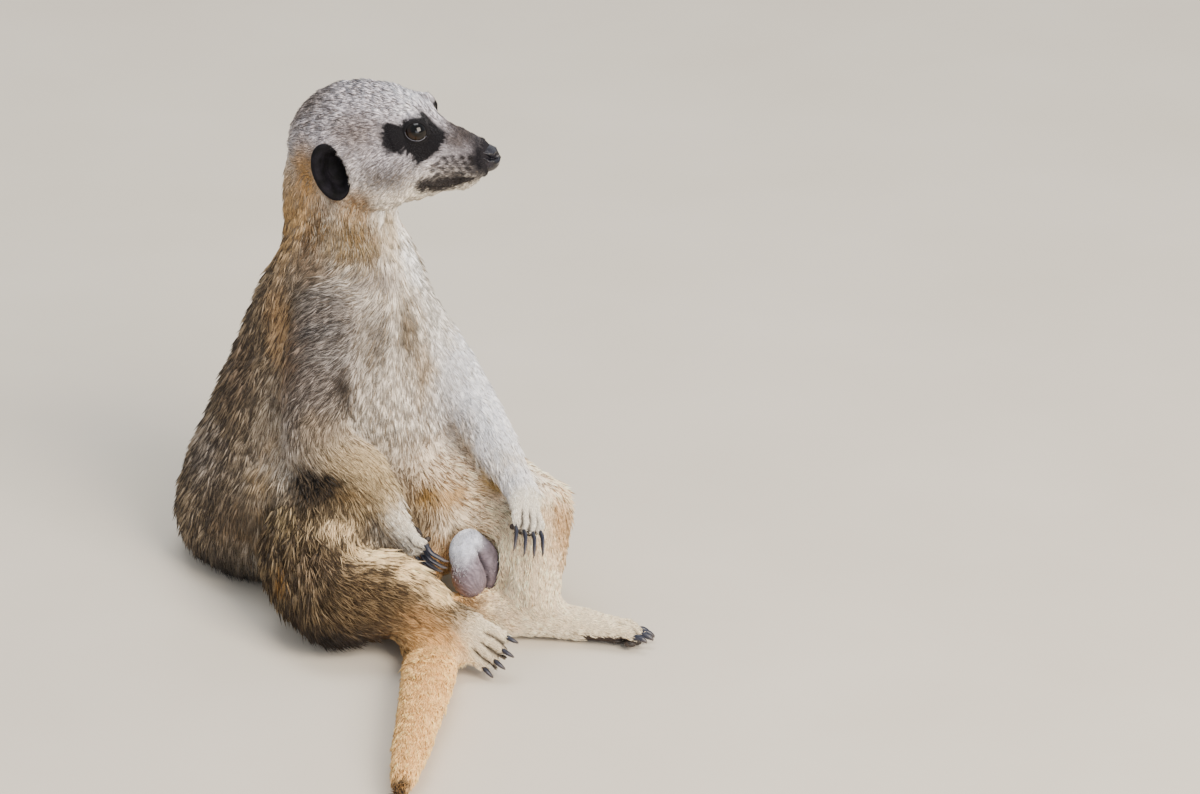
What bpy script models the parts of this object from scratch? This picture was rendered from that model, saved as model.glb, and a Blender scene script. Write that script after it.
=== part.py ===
"""A seated meerkat as a still, life-size model, made of one closed solid for each named part of the body.

Lengths are in millimetres until they become meshes, which are in metres. +X is the way the muzzle points,
+Z is up, and the trunk faces forward and to the animal's right of the muzzle.
"""

import math

import bmesh
import bpy
from mathutils import Matrix, Vector

MM = 0.001
GAP = 0.35  # clearance between neighbouring solids
RING = 16  # points round a loft
ORIGIN = Vector((32.48, -0.42, 0.0))  # the middle of the model's floor print

# ---- the frame of the trunk ------------------------------------------------------------------------------
FACING = math.radians(-50)  # heading of the chest, from +X
FORWARD = Vector((math.cos(FACING), math.sin(FACING), 0))
LEFT = Vector((-math.sin(FACING), math.cos(FACING), 0))
UP = Vector((0, 0, 1))
HIPS = Vector((29, 56, 0))  # floor point under the hip joints


def in_trunk(forward, left, up):
    """The point that far forward and left of the hips, and above the floor."""
    return HIPS + FORWARD * forward + LEFT * left + UP * up


# ---- the frame of the head -------------------------------------------------------------------------------
NOSE_TIP = Vector((68, 76, 180))
HEAD_TURN = Matrix.Rotation(math.radians(-5), 3, "Z")


def in_head(forward, left, up):
    """The point in the head's own frame, counted from the tip of the nose."""
    return NOSE_TIP + HEAD_TURN @ Vector((forward, left, up))


NECK_TOP = Vector((5, 82, 161.5))
NECK_SLOPE = Vector((0.15, 0.0, 1.0))
NECK_BASE = Vector((5, 82, 138))
NECK_BASE_SLOPE = Vector((-0.1, 0.0, 1.0))

# ---- joints of the limbs and the tail --------------------------------------------------------------------
SHOULDER_RIGHT = in_trunk(-17, -22, 119)
ELBOW_RIGHT = Vector((-7, 38, 73))
WRIST_RIGHT = Vector((25, 19, 49))
SHOULDER_LEFT = Vector((22, 89, 117))
ELBOW_LEFT = Vector((55, 73, 77))
WRIST_LEFT = Vector((77, 29, 54))
HIP_RIGHT = in_trunk(-5, -26, 36)
KNEE_RIGHT = Vector((4, -3, 22))
ANKLE_RIGHT = Vector((49.5, -15, 18.5))
HIP_LEFT = in_trunk(-5, 26, 36)
KNEE_LEFT = Vector((83, 44, 41))
ANKLE_LEFT = Vector((82, 9, 16))
TAIL_ROUTE = [
    Vector(p)
    for p in (
        (14, 78, 17),
        (27, 38, 12),
        (38, 6, 8),
        (41, -22, 6),
        (41, -52, 9.5),
        (38.5, -85, 9.5),
        (35.5, -120, 8.5),
        (33, -146, 7),
    )
]
TAIL_WIDTHS = (17, 16, 15, 12.8, 12.0, 10.2, 8.4, 5.2)
TAIL_HEIGHTS = (15, 12, 8, 6, 10.5, 10, 8.6, 5.5)


# ---- building tools --------------------------------------------------------------------------------------
def new_object(name, vertices, faces):
    """A mesh object from points in millimetres, moved to the model's origin."""
    mesh = bpy.data.meshes.new(name)
    mesh.from_pydata([tuple((Vector(v) - ORIGIN) * MM) for v in vertices], [], faces)
    mesh.update()
    made = bpy.data.objects.new(name, mesh)
    MODEL.objects.link(made)
    return made


def loft(name, rings, around=RING):
    """A closed skin over rings, each (centre, side half-axis, top half-axis), with a dome's pole at each end."""
    points = []
    for centre, side, top in rings:
        for step in range(around):
            angle = 2 * math.pi * step / around
            points.append(centre + side * math.cos(angle) + top * math.sin(angle))
    faces = []
    for ring in range(len(rings) - 1):
        for step in range(around):
            a, b = ring * around + step, ring * around + (step + 1) % around
            faces.append((a, b, b + around, a + around))
    start, end = len(points), len(points) + 1
    points += [rings[0][0], rings[-1][0]]
    last = (len(rings) - 1) * around
    for step in range(around):
        following = (step + 1) % around
        faces.append((start, following, step))
        faces.append((end, last + step, last + following))
    made = new_object(name, points, faces)
    outward(made)
    return made


def outward(made):
    """Turns every face of a closed mesh outwards."""
    mesh = bmesh.new()
    mesh.from_mesh(made.data)
    bmesh.ops.recalc_face_normals(mesh, faces=mesh.faces)
    mesh.to_mesh(made.data)
    mesh.free()


def along(values, count):
    """Catmull-Rom values at count even steps along a list of numbers or points."""
    values = [Vector(v) if hasattr(v, "__len__") else v for v in values]
    padded = [values[0] * 2 - values[1], *values, values[-1] * 2 - values[-2]]
    found = []
    for step in range(count):
        place = step / (count - 1) * (len(values) - 1)
        span = min(int(place), len(values) - 2)
        t = place - span
        a, b, c, d = padded[span : span + 4]
        curved = (a * 2 - b * 5 + c * 4 - d) * t**2 + (b * 3 - a - c * 3 + d) * t**3
        found.append((b * 2 + (c - a) * t + curved) / 2)
    return found


def limb(name, points, widths, heights=None, level=UP, steps=5, around=RING, domes=(75, 50, 25)):
    """A round-ended tube along points. widths and heights are half-sizes of its section; height follows level."""
    heights = heights or widths
    count = (len(points) - 1) * steps + 1
    centres = along(points, count)
    wide, high = along(widths, count), along(heights, count)
    rings = []
    for index, centre in enumerate(centres):
        before, after = centres[max(index - 1, 0)], centres[min(index + 1, count - 1)]
        heading = (after - before).normalized()
        side = heading.cross(level).normalized()
        rings.append((centre, side, side.cross(heading).normalized(), heading, wide[index], high[index]))
    closed = []
    for turn in domes:  # the rounded start
        centre, side, top, heading, w, h = rings[0]
        lag, share = math.sin(math.radians(turn)), math.cos(math.radians(turn))
        closed.append((centre - heading * min(w, h) * lag, side * w * share, top * h * share))
    closed += [(centre, side * w, top * h) for centre, side, top, heading, w, h in rings]
    for turn in reversed(domes):  # the rounded end
        centre, side, top, heading, w, h = rings[-1]
        lead, share = math.sin(math.radians(turn)), math.cos(math.radians(turn))
        closed.append((centre + heading * min(w, h) * lead, side * w * share, top * h * share))
    return loft(name, closed, around)


def ellipsoid(name, centre, radii, axes=None, segments=20):
    """An ellipsoid with its half-sizes along the columns of axes."""
    axes = axes or Matrix.Identity(3)
    mesh = bmesh.new()
    bmesh.ops.create_uvsphere(mesh, u_segments=segments, v_segments=segments // 2 + 2, radius=1)
    for vertex in mesh.verts:
        local = Vector(c * r for c, r in zip(vertex.co, radii))
        vertex.co = (centre + axes @ local - ORIGIN) * MM
    made = bpy.data.objects.new(name, bpy.data.meshes.new(name))
    mesh.to_mesh(made.data)
    mesh.free()
    MODEL.objects.link(made)
    return made


def evaluated_mesh(made):
    """A copy of the object's mesh with its modifiers applied."""
    bpy.context.view_layer.update()
    return bpy.data.meshes.new_from_object(made.evaluated_get(bpy.context.evaluated_depsgraph_get()))


def settle(made):
    """Applies an object's modifiers to its mesh."""
    mesh = evaluated_mesh(made)
    made.modifiers.clear()
    made.data = mesh
    return made


def copy_of(made, name):
    """A second object with its own copy of the mesh."""
    second = bpy.data.objects.new(name, made.data.copy())
    MODEL.objects.link(second)
    return second


def discard(*objects):
    """Removes helpers from the scene."""
    for made in objects:
        bpy.data.objects.remove(made)


def fuse(name, pieces, voxel, smoothing, triangles=None):
    """One closed, smoothed body from overlapping closed pieces, thinned to about that many triangles."""
    joined = bmesh.new()
    for piece in pieces:
        joined.from_mesh(piece.data)
    body = bpy.data.objects.new("fused", bpy.data.meshes.new(name))
    joined.to_mesh(body.data)
    joined.free()
    MODEL.objects.link(body)
    discard(*pieces)
    body.name = name
    remesh = body.modifiers.new("fuse", "REMESH")
    remesh.mode = "VOXEL"
    remesh.voxel_size = voxel * MM
    smooth = body.modifiers.new("smooth", "SMOOTH")
    smooth.factor = 0.5
    smooth.iterations = smoothing
    settle(body)
    return thin(body, triangles) if triangles else body


def thin(made, triangles):
    """Collapses edges until about that many triangles are left."""
    made.data.calc_loop_triangles()
    decimate = made.modifiers.new("thin", "DECIMATE")
    decimate.ratio = min(1.0, triangles / len(made.data.loop_triangles))
    return settle(made)


def boolean(made, other, operation="DIFFERENCE"):
    """Cuts other from made, or joins it."""
    modifier = made.modifiers.new("cut", "BOOLEAN")
    modifier.operation = operation
    modifier.object = other
    settle(made)


def carve(made, *others):
    """Cuts room for its neighbours out of made, with the gap round each."""
    for other in others:
        tool = copy_of(other, "room")
        swell = tool.modifiers.new("gap", "DISPLACE")
        swell.strength = GAP * MM
        swell.mid_level = 0
        settle(tool)
        boolean(made, tool)
        discard(tool)
    drop_crumbs(made)


def drop_crumbs(made):
    """Keeps the largest of the loose bodies that a cut has left."""
    mesh = bmesh.new()
    mesh.from_mesh(made.data)
    left, bodies = set(mesh.verts), []
    while left:
        body, frontier = set(), [next(iter(left))]
        while frontier:
            vertex = frontier.pop()
            if vertex in left:
                left.remove(vertex)
                body.add(vertex)
                frontier += [edge.other_vert(vertex) for edge in vertex.link_edges]
        bodies.append(body)
    bodies.sort(key=len)
    for body in bodies[:-1]:
        bmesh.ops.delete(mesh, geom=list(body), context="VERTS")
    mesh.to_mesh(made.data)
    mesh.free()


def keep_side(made, point, normal):
    """Cuts a lone piece by a plane and keeps the side that normal points to, half a gap from the plane."""
    normal = Vector(normal).normalized()
    place = (Vector(point) - ORIGIN) * MM + normal * GAP / 2 * MM
    mesh = bmesh.new()
    mesh.from_mesh(made.data)
    geometry = mesh.verts[:] + mesh.edges[:] + mesh.faces[:]
    cut = bmesh.ops.bisect_plane(mesh, geom=geometry, plane_co=place, plane_no=normal, clear_inner=True)
    rim = [e for e in cut["geom_cut"] if isinstance(e, bmesh.types.BMEdge)]
    bmesh.ops.holes_fill(mesh, edges=rim, sides=0)
    bmesh.ops.triangulate(mesh, faces=[f for f in mesh.faces if len(f.verts) > 4])
    bmesh.ops.recalc_face_normals(mesh, faces=mesh.faces)
    mesh.to_mesh(made.data)
    mesh.free()
    drop_crumbs(made)
    return made


def split_at(made, name, point, normal):
    """Parts a lone piece in two at a plane. The side that normal points to becomes name."""
    far = keep_side(copy_of(made, name), point, normal)
    keep_side(made, point, -Vector(normal))
    return far


# ---- colours ---------------------------------------------------------------------------------------------
def finish(name, colour, roughness):
    """A plain material of that colour."""
    material = bpy.data.materials.new(name)
    material.use_nodes = True
    shader = material.node_tree.nodes["Principled BSDF"]
    shader.inputs["Base Color"].default_value = (*colour, 1)
    shader.inputs["Roughness"].default_value = roughness
    material.diffuse_color = (*colour, 1)
    return material


def dress(material, *objects):
    """Gives objects their material and shades them smooth."""
    for made in objects:
        made.data.materials.clear()
        made.data.materials.append(material)
        made.data.shade_smooth()
        made.data.set_sharp_from_angle(angle=math.radians(50))


# ---- the head --------------------------------------------------------------------------------------------
# Sections of the head: distance behind the nose tip, top, underside and half-width
HEAD_SECTIONS = (
    (0.8, 3.6, -4.6, 4.4),
    (3.0, 5.4, -6.8, 6.2),
    (7, 7.4, -8.6, 7.4),
    (11, 9.2, -11.0, 8.6),
    (14, 10.8, -13.8, 9.6),
    (19, 13.2, -15.0, 11.4),
    (23.5, 16.4, -16.4, 14.2),
    (28, 21.2, -18.0, 17.8),
    (33, 25.0, -19.6, 21.0),
    (42, 28.2, -21.0, 24.6),
    (54, 30.0, -22.0, 27.2),
    (64, 28.8, -20.0, 27.0),
    (72, 25.4, -16.0, 24.6),
    (79, 19.6, -10.0, 19.6),
    (84, 12.0, -3.0, 12.4),
)
EYE_RADIUS = 5.4
EYE_PLACE = (-32.4, 14.2, 14.9)
EAR_PLACE = (-64.6, 25.8, 0.4)


def make_head_form():
    """The head's outer form with its brows, cheeks and whisker pads, as overlapping closed pieces."""
    rings = []
    for behind, top, under, half_width in HEAD_SECTIONS:
        centre = in_head(-behind, 0, (top + under) / 2)
        rings.append((centre, HEAD_TURN @ Vector((0, half_width, 0)), UP * (top - under) / 2))
    pieces = [loft("skull", rings)]
    for side in (-1, 1):
        pieces += [
            ellipsoid("brow", in_head(-33, side * 12.6, 18.0), (7.5, 4.6, 3.8), HEAD_TURN),
            ellipsoid("cheek", in_head(-47, side * 18, -6), (15, 9.5, 13), HEAD_TURN),
            ellipsoid("whisker_pad", in_head(-13.5, side * 5.2, -4.6), (8.5, 5.2, 5.6), HEAD_TURN),
        ]
    pieces.append(ellipsoid("chin", in_head(-17, 0, -11.0), (9, 6.6, 4.0), HEAD_TURN))
    return pieces


def make_neck_form():
    """The neck as an upright tube from the shoulders into the head."""
    route = (in_trunk(-33, 0, 122), Vector((5, 82, 146)), Vector((4, 82, 166)), Vector((5, 81, 186)))
    return limb("neck_form", route, (27, 23.5, 23, 20), (27, 24.5, 24, 21), level=FORWARD)


def make_ear(name, side):
    """A small crescent ear: a flat cup with its thick rim at the back."""
    lean = HEAD_TURN @ Matrix.Rotation(math.radians(-20), 3, "Y")
    turn = lean @ Matrix.Rotation(math.radians(-14 * side), 3, "Z")
    forward, left, up = EAR_PLACE
    ear = ellipsoid(name, in_head(forward, side * left, up), (6.4, 4.6, 11.9), turn, 12)
    hollow = in_head(forward + 2.0, side * (left + 3.4), up - 0.4)
    bowl = ellipsoid("bowl", hollow, (4.2, 4.2, 8.8), turn, 10)
    boolean(ear, bowl)
    discard(bowl)
    return ear


def make_head():
    """The head with its eyes, ears and nose let into it."""
    head = fuse("head", [*make_head_form(), make_neck_form()], 1.5, 4, 850)
    keep_side(head, NECK_TOP, NECK_SLOPE)
    found = {"head": head}
    forward, left, up = EYE_PLACE
    for name, side in (("left", 1), ("right", -1)):
        middle = in_head(forward, side * left, up)
        found[f"eye_{name}"] = ellipsoid(f"eye_{name}", middle, (EYE_RADIUS,) * 3, None, 10)
        found[f"ear_{name}"] = make_ear(f"ear_{name}", side)
    found["nose"] = ellipsoid("nose", in_head(-4.2, 0, -0.6), (5.0, 5.2, 5.4), HEAD_TURN, 12)
    carve(head, *[made for made in found.values() if made != head])
    return found


# ---- the trunk -------------------------------------------------------------------------------------------
# Sections of the trunk: height, middle across and along, half-width, half-depth and heading of the chest
TRUNK_SECTIONS = (
    (152, 8, 81, 20, 21, -20),
    (140, 8, 81, 25.5, 25.5, -25),
    (128, 8, 81, 30.5, 30.5, -30),
    (116, 8, 82, 34, 35, -32),
    (104, 6, 83, 37, 39.5, -33),
    (92, 4, 86, 40, 44.5, -33),
    (80, 1.5, 88.5, 42.5, 48.5, -34),
    (68, 0, 91, 44.5, 52, -35),
    (56, -3, 93, 46.5, 53.5, -36),
    (44, -7.5, 95, 48.5, 54.5, -38),
    (32, -11, 97, 50.5, 55, -42),
    (20, -13, 97, 52, 54.5, -45),
    (10, -13, 97, 49.5, 52, -45),
    (3, -12, 97, 43, 45, -45),
    (-4, -11, 97, 36, 37, -45),
)


def make_trunk_form():
    """The trunk, haunches and pelvis, as overlapping closed pieces."""
    rings = []
    for height, across, along_it, wide, deep, heading in TRUNK_SECTIONS:
        turned = Matrix.Rotation(math.radians(heading), 3, "Z")
        rings.append((Vector((across, along_it, height)), turned.col[1] * wide, turned.col[0] * deep))
    pieces = [loft("barrel", rings)]
    turn = Matrix((FORWARD, LEFT, UP)).transposed()
    pieces.append(ellipsoid("pelvis", in_trunk(-6, 0, 30), (37, 38, 28), turn))
    for side in (-1, 1):
        pieces.append(ellipsoid("haunch", in_trunk(-28, side * 28, 34), (36, 27, 33), turn))
        pieces.append(ellipsoid("shoulder_blade", in_trunk(-38, side * 16, 112), (20, 17, 24), turn))
    return pieces


def make_leg_form(side):
    """The thigh and the shank of one hind leg."""
    if side == "right":
        middle = (HIP_RIGHT + KNEE_RIGHT) / 2 + Vector((-7, 1, -1))
        thigh = limb("thigh", (HIP_RIGHT, middle, KNEE_RIGHT), (32, 27, 20))
        calf = (KNEE_RIGHT + ANKLE_RIGHT) / 2 + Vector((-2, 4, 4.5))
        shank = limb("shank", (KNEE_RIGHT, calf, ANKLE_RIGHT), (20, 18.5, 10))
    else:
        thigh = limb("thigh", (HIP_LEFT, (HIP_LEFT + KNEE_LEFT) / 2, KNEE_LEFT), (29, 22, 15))
        calf = (KNEE_LEFT + ANKLE_LEFT) / 2 + Vector((0, 2, -1))
        shank = limb("shank", (KNEE_LEFT, calf, ANKLE_LEFT), (15, 13.5, 9.5))
        inner = limb("inner_calf", (Vector((66, 44, 32)), Vector((70, 30, 22)), Vector((74, 17, 13))), (13, 12, 9.5))
        return [thigh, shank, inner]
    return [thigh, shank]


# ---- paws ------------------------------------------------------------------------------------------------
def make_paw(name, route, widths, heights, ahead, back_of_paw, toes):
    """A paw with four toes, each with a claw. Returns the pieces to fuse and the claws.

    toes holds: spread of the knuckles, fan in degrees, toe length, toe radius, claw length and droop.
    """
    ahead = Vector(ahead).normalized()
    across = Vector(back_of_paw).cross(ahead).normalized()
    over = ahead.cross(across).normalized()
    pieces = [limb(name, route, widths, heights, level=over)]
    claws = []
    knuckles = Vector(route[-1])
    for index in range(4):
        place = (index - 1.5) / 1.5
        fan = Matrix.Rotation(math.radians(toes["fan"] * place), 3, over)
        heading = fan @ ahead
        reach = toes["length"] * (1.0 - 0.22 * place**2)
        start = knuckles + across * place * toes["spread"]
        middle = start + heading * reach * 0.55 + over * toes["radius"] * 0.5
        tip = start + heading * reach - over * toes["radius"] * 0.45
        radius = toes["radius"]
        pieces.append(limb("toe", (start, middle, tip), (radius * 1.1, radius, radius * 0.92), level=over))
        root = tip + over * radius * 0.2 + heading * radius * 0.4
        bow = root + heading * toes["claw"] * 0.55 + over * toes["claw"] * 0.06
        point = root + heading * toes["claw"] - over * toes["droop"]
        nail = {"level": over, "steps": 1, "around": 6, "domes": (45,)}
        sizes = ((1.25, 0.95, 0.3), (1.6, 1.25, 0.3))
        claws.append(limb(f"claw_{name}_{index + 1}", (root, bow, point), *sizes, **nail))
    return pieces, claws


FORE_TOES = {"spread": 4.8, "fan": 9, "length": 8.5, "radius": 2.5, "claw": 11.0, "droop": 3.2}
HIND_TOES = {"spread": 6.0, "fan": 10, "length": 10.0, "radius": 3.1, "claw": 5.5, "droop": 2.0}
HAND_RIGHT = ((0.62, -0.29, -0.73), (-0.65, -0.64, -0.25))  # heading of the paw, and the way its back faces
HAND_LEFT = ((0.14, -0.88, -0.45), (0.45, -0.5, 0.72))
FOOT_RIGHT = ((0.71, -0.63, -0.31), (-0.35, -0.76, 0.56))
FOOT_LEFT = ((0.99, -0.10, -0.04), (0.0, 0.2, 0.98))


def make_arm(side):
    """One fore limb from shoulder to claws, in one piece with its claws apart."""
    if side == "right":
        shoulder, elbow, wrist, (ahead, over) = SHOULDER_RIGHT, ELBOW_RIGHT, WRIST_RIGHT, HAND_RIGHT
    else:
        shoulder, elbow, wrist, (ahead, over) = SHOULDER_LEFT, ELBOW_LEFT, WRIST_LEFT, HAND_LEFT
    heading = Vector(ahead).normalized()
    bow = Vector((3, 0, 3)) if side == "right" else Vector((0, 0, 0))
    upper_sizes = (16.5, 16.5, 13.5) if side == "right" else (16, 14.5, 11.5)
    fore_sizes = (13, 11.8, 7.8) if side == "right" else (11.5, 10.2, 6.8)
    upper = limb("upper", (shoulder, (shoulder + elbow) / 2, elbow), upper_sizes)
    fore = limb("fore", (elbow, (elbow + wrist) / 2 + bow, wrist), fore_sizes)
    paw, claws = make_paw(
        f"hand_{side}",
        (wrist, wrist + heading * 6, wrist + heading * 11),
        (7.0, 7.4, 6.8),
        (6.4, 5.2, 4.2),
        ahead,
        over,
        FORE_TOES,
    )
    arm = fuse(f"upper_arm_{side}", [upper, fore, *paw], 1.5, 3, 560)
    return arm, claws


def make_foot(side):
    """One hind foot with the end of its shank, cut at the ankle, with its claws apart."""
    knee, ankle = (KNEE_RIGHT, ANKLE_RIGHT) if side == "right" else (KNEE_LEFT, ANKLE_LEFT)
    ahead, over = FOOT_RIGHT if side == "right" else FOOT_LEFT
    heading = Vector(ahead).normalized()
    if side == "right":
        route = (ankle - heading * 5 + Vector((0, 3, -4)), ankle + heading * 3, ankle + heading * 15.5)
        widths, heights = (7.5, 8.6, 8.4), (8, 8.6, 5.6)
    else:
        route = (Vector((70, 10, 7.8)), Vector((80, 9, 9.8)), Vector((98, 6.5, 7.4)), Vector((114, 4, 5.3)))
        widths, heights = (7.6, 8.6, 7.6, 8.4), (8.4, 9.6, 7.4, 5.6)
    paw, claws = make_paw(f"foot_{side}", route, widths, heights, ahead, over, HIND_TOES)
    shank_end = limb("shank_end", ((knee + ankle) / 2, ankle), (14, 9.5))
    foot = fuse(f"foot_{side}", [*paw, shank_end], 1.4, 3, 360)
    return keep_side(foot, ankle_cut(side), ankle - knee), claws


def ankle_cut(side):
    """The middle of the cut between shank and foot, just above the ankle."""
    knee, ankle = (KNEE_RIGHT, ANKLE_RIGHT) if side == "right" else (KNEE_LEFT, ANKLE_LEFT)
    return ankle + (knee - ankle).normalized() * 5


# ---- the whole animal ------------------------------------------------------------------------------------
def make_scrotum():
    """Two lobes side by side between the thighs."""
    turn = Matrix((FORWARD, LEFT, UP)).transposed()
    middle = Vector((55, 25, 25))
    lobes = [ellipsoid("lobe", middle + LEFT * side * 5.2, (10.5, 7.8, 13.5), turn) for side in (-1, 1)]
    return fuse("scrotum", lobes, 1.5, 3, 180)


def make_tail():
    """The tail lying along the floor, in three lengths."""
    tail = limb("tail_root", TAIL_ROUTE, TAIL_WIDTHS, TAIL_HEIGHTS, steps=2, around=14, domes=(60, 30))
    return tail


def main():
    """Builds every part, makes room between neighbours and levels what stands on the floor."""
    make_head()
    neck = [*make_head_form(), make_neck_form()]
    legs = make_leg_form("right") + make_leg_form("left")
    body = fuse("trunk", [*make_trunk_form(), *neck, *legs], 2.6, 7, 1350)
    keep_side(body, NECK_TOP, -NECK_SLOPE)
    arms, feet = {}, {}
    scrotum, tail = make_scrotum(), make_tail()
    carve(body, scrotum, tail)
    carve(scrotum, tail)
    for side in ("right", "left"):
        arms[side], claws = make_arm(side)
        carve(body, arms[side])
        carve(arms[side], *claws)
        feet[side], claws = make_foot(side)
        carve(tail, feet[side])
        carve(feet[side], *claws)
    cut_body(body)
    split_limbs(arms, tail)
    level_floor()
    colour_parts()


def cut_body(body):
    """Parts the body into neck, trunk, rump, thighs and shanks, and ends each shank above its ankle."""
    split_at(body, "neck", NECK_BASE, NECK_BASE_SLOPE)
    rump = split_at(body, "rump", in_trunk(-40, 0, 66), (0, 0, -1))
    for side, hip, knee, ankle, outward_cut in (
        ("right", HIP_RIGHT, KNEE_RIGHT, ANKLE_RIGHT, KNEE_RIGHT - HIP_RIGHT),
        ("left", HIP_LEFT, KNEE_LEFT, ANKLE_LEFT, Vector((1, -0.35, 0.1))),
    ):
        thigh = split_at(rump, f"thigh_{side}", hip.lerp(knee, 0.5), outward_cut)
        shank = split_at(thigh, f"shank_{side}", knee.lerp(ankle, 0.22), ankle - knee)
        keep_side(shank, ankle_cut(side), knee - ankle)


def split_limbs(arms, tail):
    """Parts each arm at its elbow and wrist, and the tail into three lengths."""
    for side, shoulder, elbow, wrist in (
        ("right", SHOULDER_RIGHT, ELBOW_RIGHT, WRIST_RIGHT),
        ("left", SHOULDER_LEFT, ELBOW_LEFT, WRIST_LEFT),
    ):
        upper, fore = (elbow - shoulder).normalized(), (wrist - elbow).normalized()
        forearm = split_at(arms[side], f"forearm_{side}", elbow, upper + fore)
        split_at(forearm, f"hand_{side}", wrist, fore)
    middle = split_at(tail, "tail_middle", TAIL_ROUTE[4], TAIL_ROUTE[5] - TAIL_ROUTE[3])
    split_at(middle, "tail_tip", TAIL_ROUTE[6], TAIL_ROUTE[7] - TAIL_ROUTE[5])


def level_floor():
    """Gives every part that reaches the floor a flat at floor level."""
    for made in MODEL.objects:
        if min(v.co.z for v in made.data.vertices) < 0:
            keep_side(made, Vector((0, 0, -GAP / 2)), UP)


def colour_parts():
    """Dresses each part in its plain colour."""
    coat = finish("grizzled_coat", (0.40, 0.31, 0.21), 0.8)
    tawny = finish("tawny_coat", (0.50, 0.31, 0.15), 0.8)
    face = finish("pale_face_coat", (0.48, 0.43, 0.38), 0.8)
    dark = finish("dark_skin", (0.02, 0.018, 0.02), 0.6)
    horn = finish("claw_horn", (0.035, 0.03, 0.035), 0.35)
    wet = finish("eye_surface", (0.03, 0.015, 0.008), 0.05)
    grey = finish("bare_grey_skin", (0.25, 0.22, 0.23), 0.6)
    for made in MODEL.objects:
        name = made.name
        if name.startswith("claw"):
            dress(horn, made)
        elif name.startswith("eye"):
            dress(wet, made)
        elif name.startswith(("ear", "nose")):
            dress(dark, made)
        elif name.startswith("tail"):
            dress(tawny, made)
        elif name == "scrotum":
            dress(grey, made)
        elif name == "head":
            dress(face, made)
        else:
            dress(coat, made)


for leftover in list(bpy.data.objects):
    bpy.data.objects.remove(leftover)
MODEL = bpy.data.collections.new("meerkat")
bpy.context.scene.collection.children.link(MODEL)
main()
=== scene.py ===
"""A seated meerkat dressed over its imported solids: one hide, a coat of solid tufts, fine face and paw pieces.

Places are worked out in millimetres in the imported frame, and turn into metres when a mesh is made. The
drawing of the solids has its own zero, so a place from the drawing goes through spot(). Shapes are numpy
surfaces; the hide is a copy of the flesh solids run together, because it has to follow them.
"""

from __future__ import annotations

import logging
import math
from dataclasses import dataclass, field
from enum import Enum
from typing import ClassVar

import bmesh
import bpy
import numpy as np
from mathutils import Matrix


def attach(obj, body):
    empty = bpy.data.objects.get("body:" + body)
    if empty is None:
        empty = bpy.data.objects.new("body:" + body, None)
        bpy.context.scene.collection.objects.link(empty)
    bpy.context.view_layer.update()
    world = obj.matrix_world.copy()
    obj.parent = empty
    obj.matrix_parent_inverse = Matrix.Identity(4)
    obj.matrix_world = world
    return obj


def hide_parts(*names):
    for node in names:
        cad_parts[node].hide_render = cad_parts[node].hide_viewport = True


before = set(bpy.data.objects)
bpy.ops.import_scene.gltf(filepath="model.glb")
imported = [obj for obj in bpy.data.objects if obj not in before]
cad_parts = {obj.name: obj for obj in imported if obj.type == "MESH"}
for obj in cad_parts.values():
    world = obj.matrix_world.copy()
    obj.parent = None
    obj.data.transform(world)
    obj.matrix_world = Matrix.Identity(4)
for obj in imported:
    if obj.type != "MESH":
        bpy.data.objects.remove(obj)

Array = np.ndarray
Chance = np.random.Generator
Place = tuple[float, float, float]

Tree = bpy.types.NodeTree
Socket = bpy.types.NodeSocket

MM = 0.001
DRAWING_ZERO = np.array((32.48, -0.42, 0.0))
UP = np.array((0.0, 0.0, 1.0))
FAR_OFF = 1e9
BEYOND = 9.0
SAME_CORNER = 2e-6
LOG = logging.getLogger("meerkat")

# Columns of a coat row: the seven numbers of a pelage, its two colours, and the way the hair lies.
DEPTH, LENGTH, WIDTH, LIFT, DENSITY, DROOP, TICKING = range(7)
GROUND, GUARD, WAY = slice(7, 10), slice(10, 13), slice(13, 16)


# ---- sums on arrays ----
def spot(x: float, y: float, z: float) -> Array:
    """A place in the drawing's millimetres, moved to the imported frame."""
    return np.array((x, y, z), dtype=float) - DRAWING_ZERO


def spots(*places: Place) -> tuple[Array, ...]:
    """Several places in the drawing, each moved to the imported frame."""
    return tuple(spot(*place) for place in places)


def unit(vectors: Array) -> Array:
    """The same directions with length one."""
    return vectors / np.maximum(np.linalg.norm(vectors, axis=-1, keepdims=True), 1e-9)


def ease(amount: Array) -> Array:
    """Zero to one with a soft start and end: three times the square less twice the cube."""
    held = np.clip(amount, 0.0, 1.0)
    return held * held * (3.0 - 2.0 * held)


def mixed(first: Array, second: Array, share: Array) -> Array:
    """The first, rows or one row, where share is 0, and the second where it is 1."""
    return first + (second - first) * share[:, None]


def linear(code: str) -> Array:
    """Six hex digits after a hash as linear red, green and blue, by the sRGB curve."""
    value = np.array([int(code[i : i + 2], 16) / 255.0 for i in (1, 3, 5)])
    return np.where(value <= 0.04045, value / 12.92, ((value + 0.055) / 1.055) ** 2.4)


@dataclass(frozen=True)
class Ripple:
    """A smooth random field with a lump size in millimetres: many sine waves in seeded directions, summed."""

    size: float
    seed: int
    waves: int = 20

    def at(self, points: Array) -> Array:
        """The field's value at each point, with a spread of about one.

        Args:
            points: places in millimetres, one row each.

        Returns:
            One number for each point.
        """
        rng = np.random.default_rng(self.seed)
        heading = unit(rng.normal(size=(self.waves, 3)))
        pace = 2 * math.pi / self.size * rng.uniform(0.6, 1.5, self.waves)
        phase = rng.uniform(0, 2 * math.pi, self.waves)
        return np.sin(points @ (heading * pace[:, None]).T + phase).sum(1) * math.sqrt(2 / self.waves)


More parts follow.
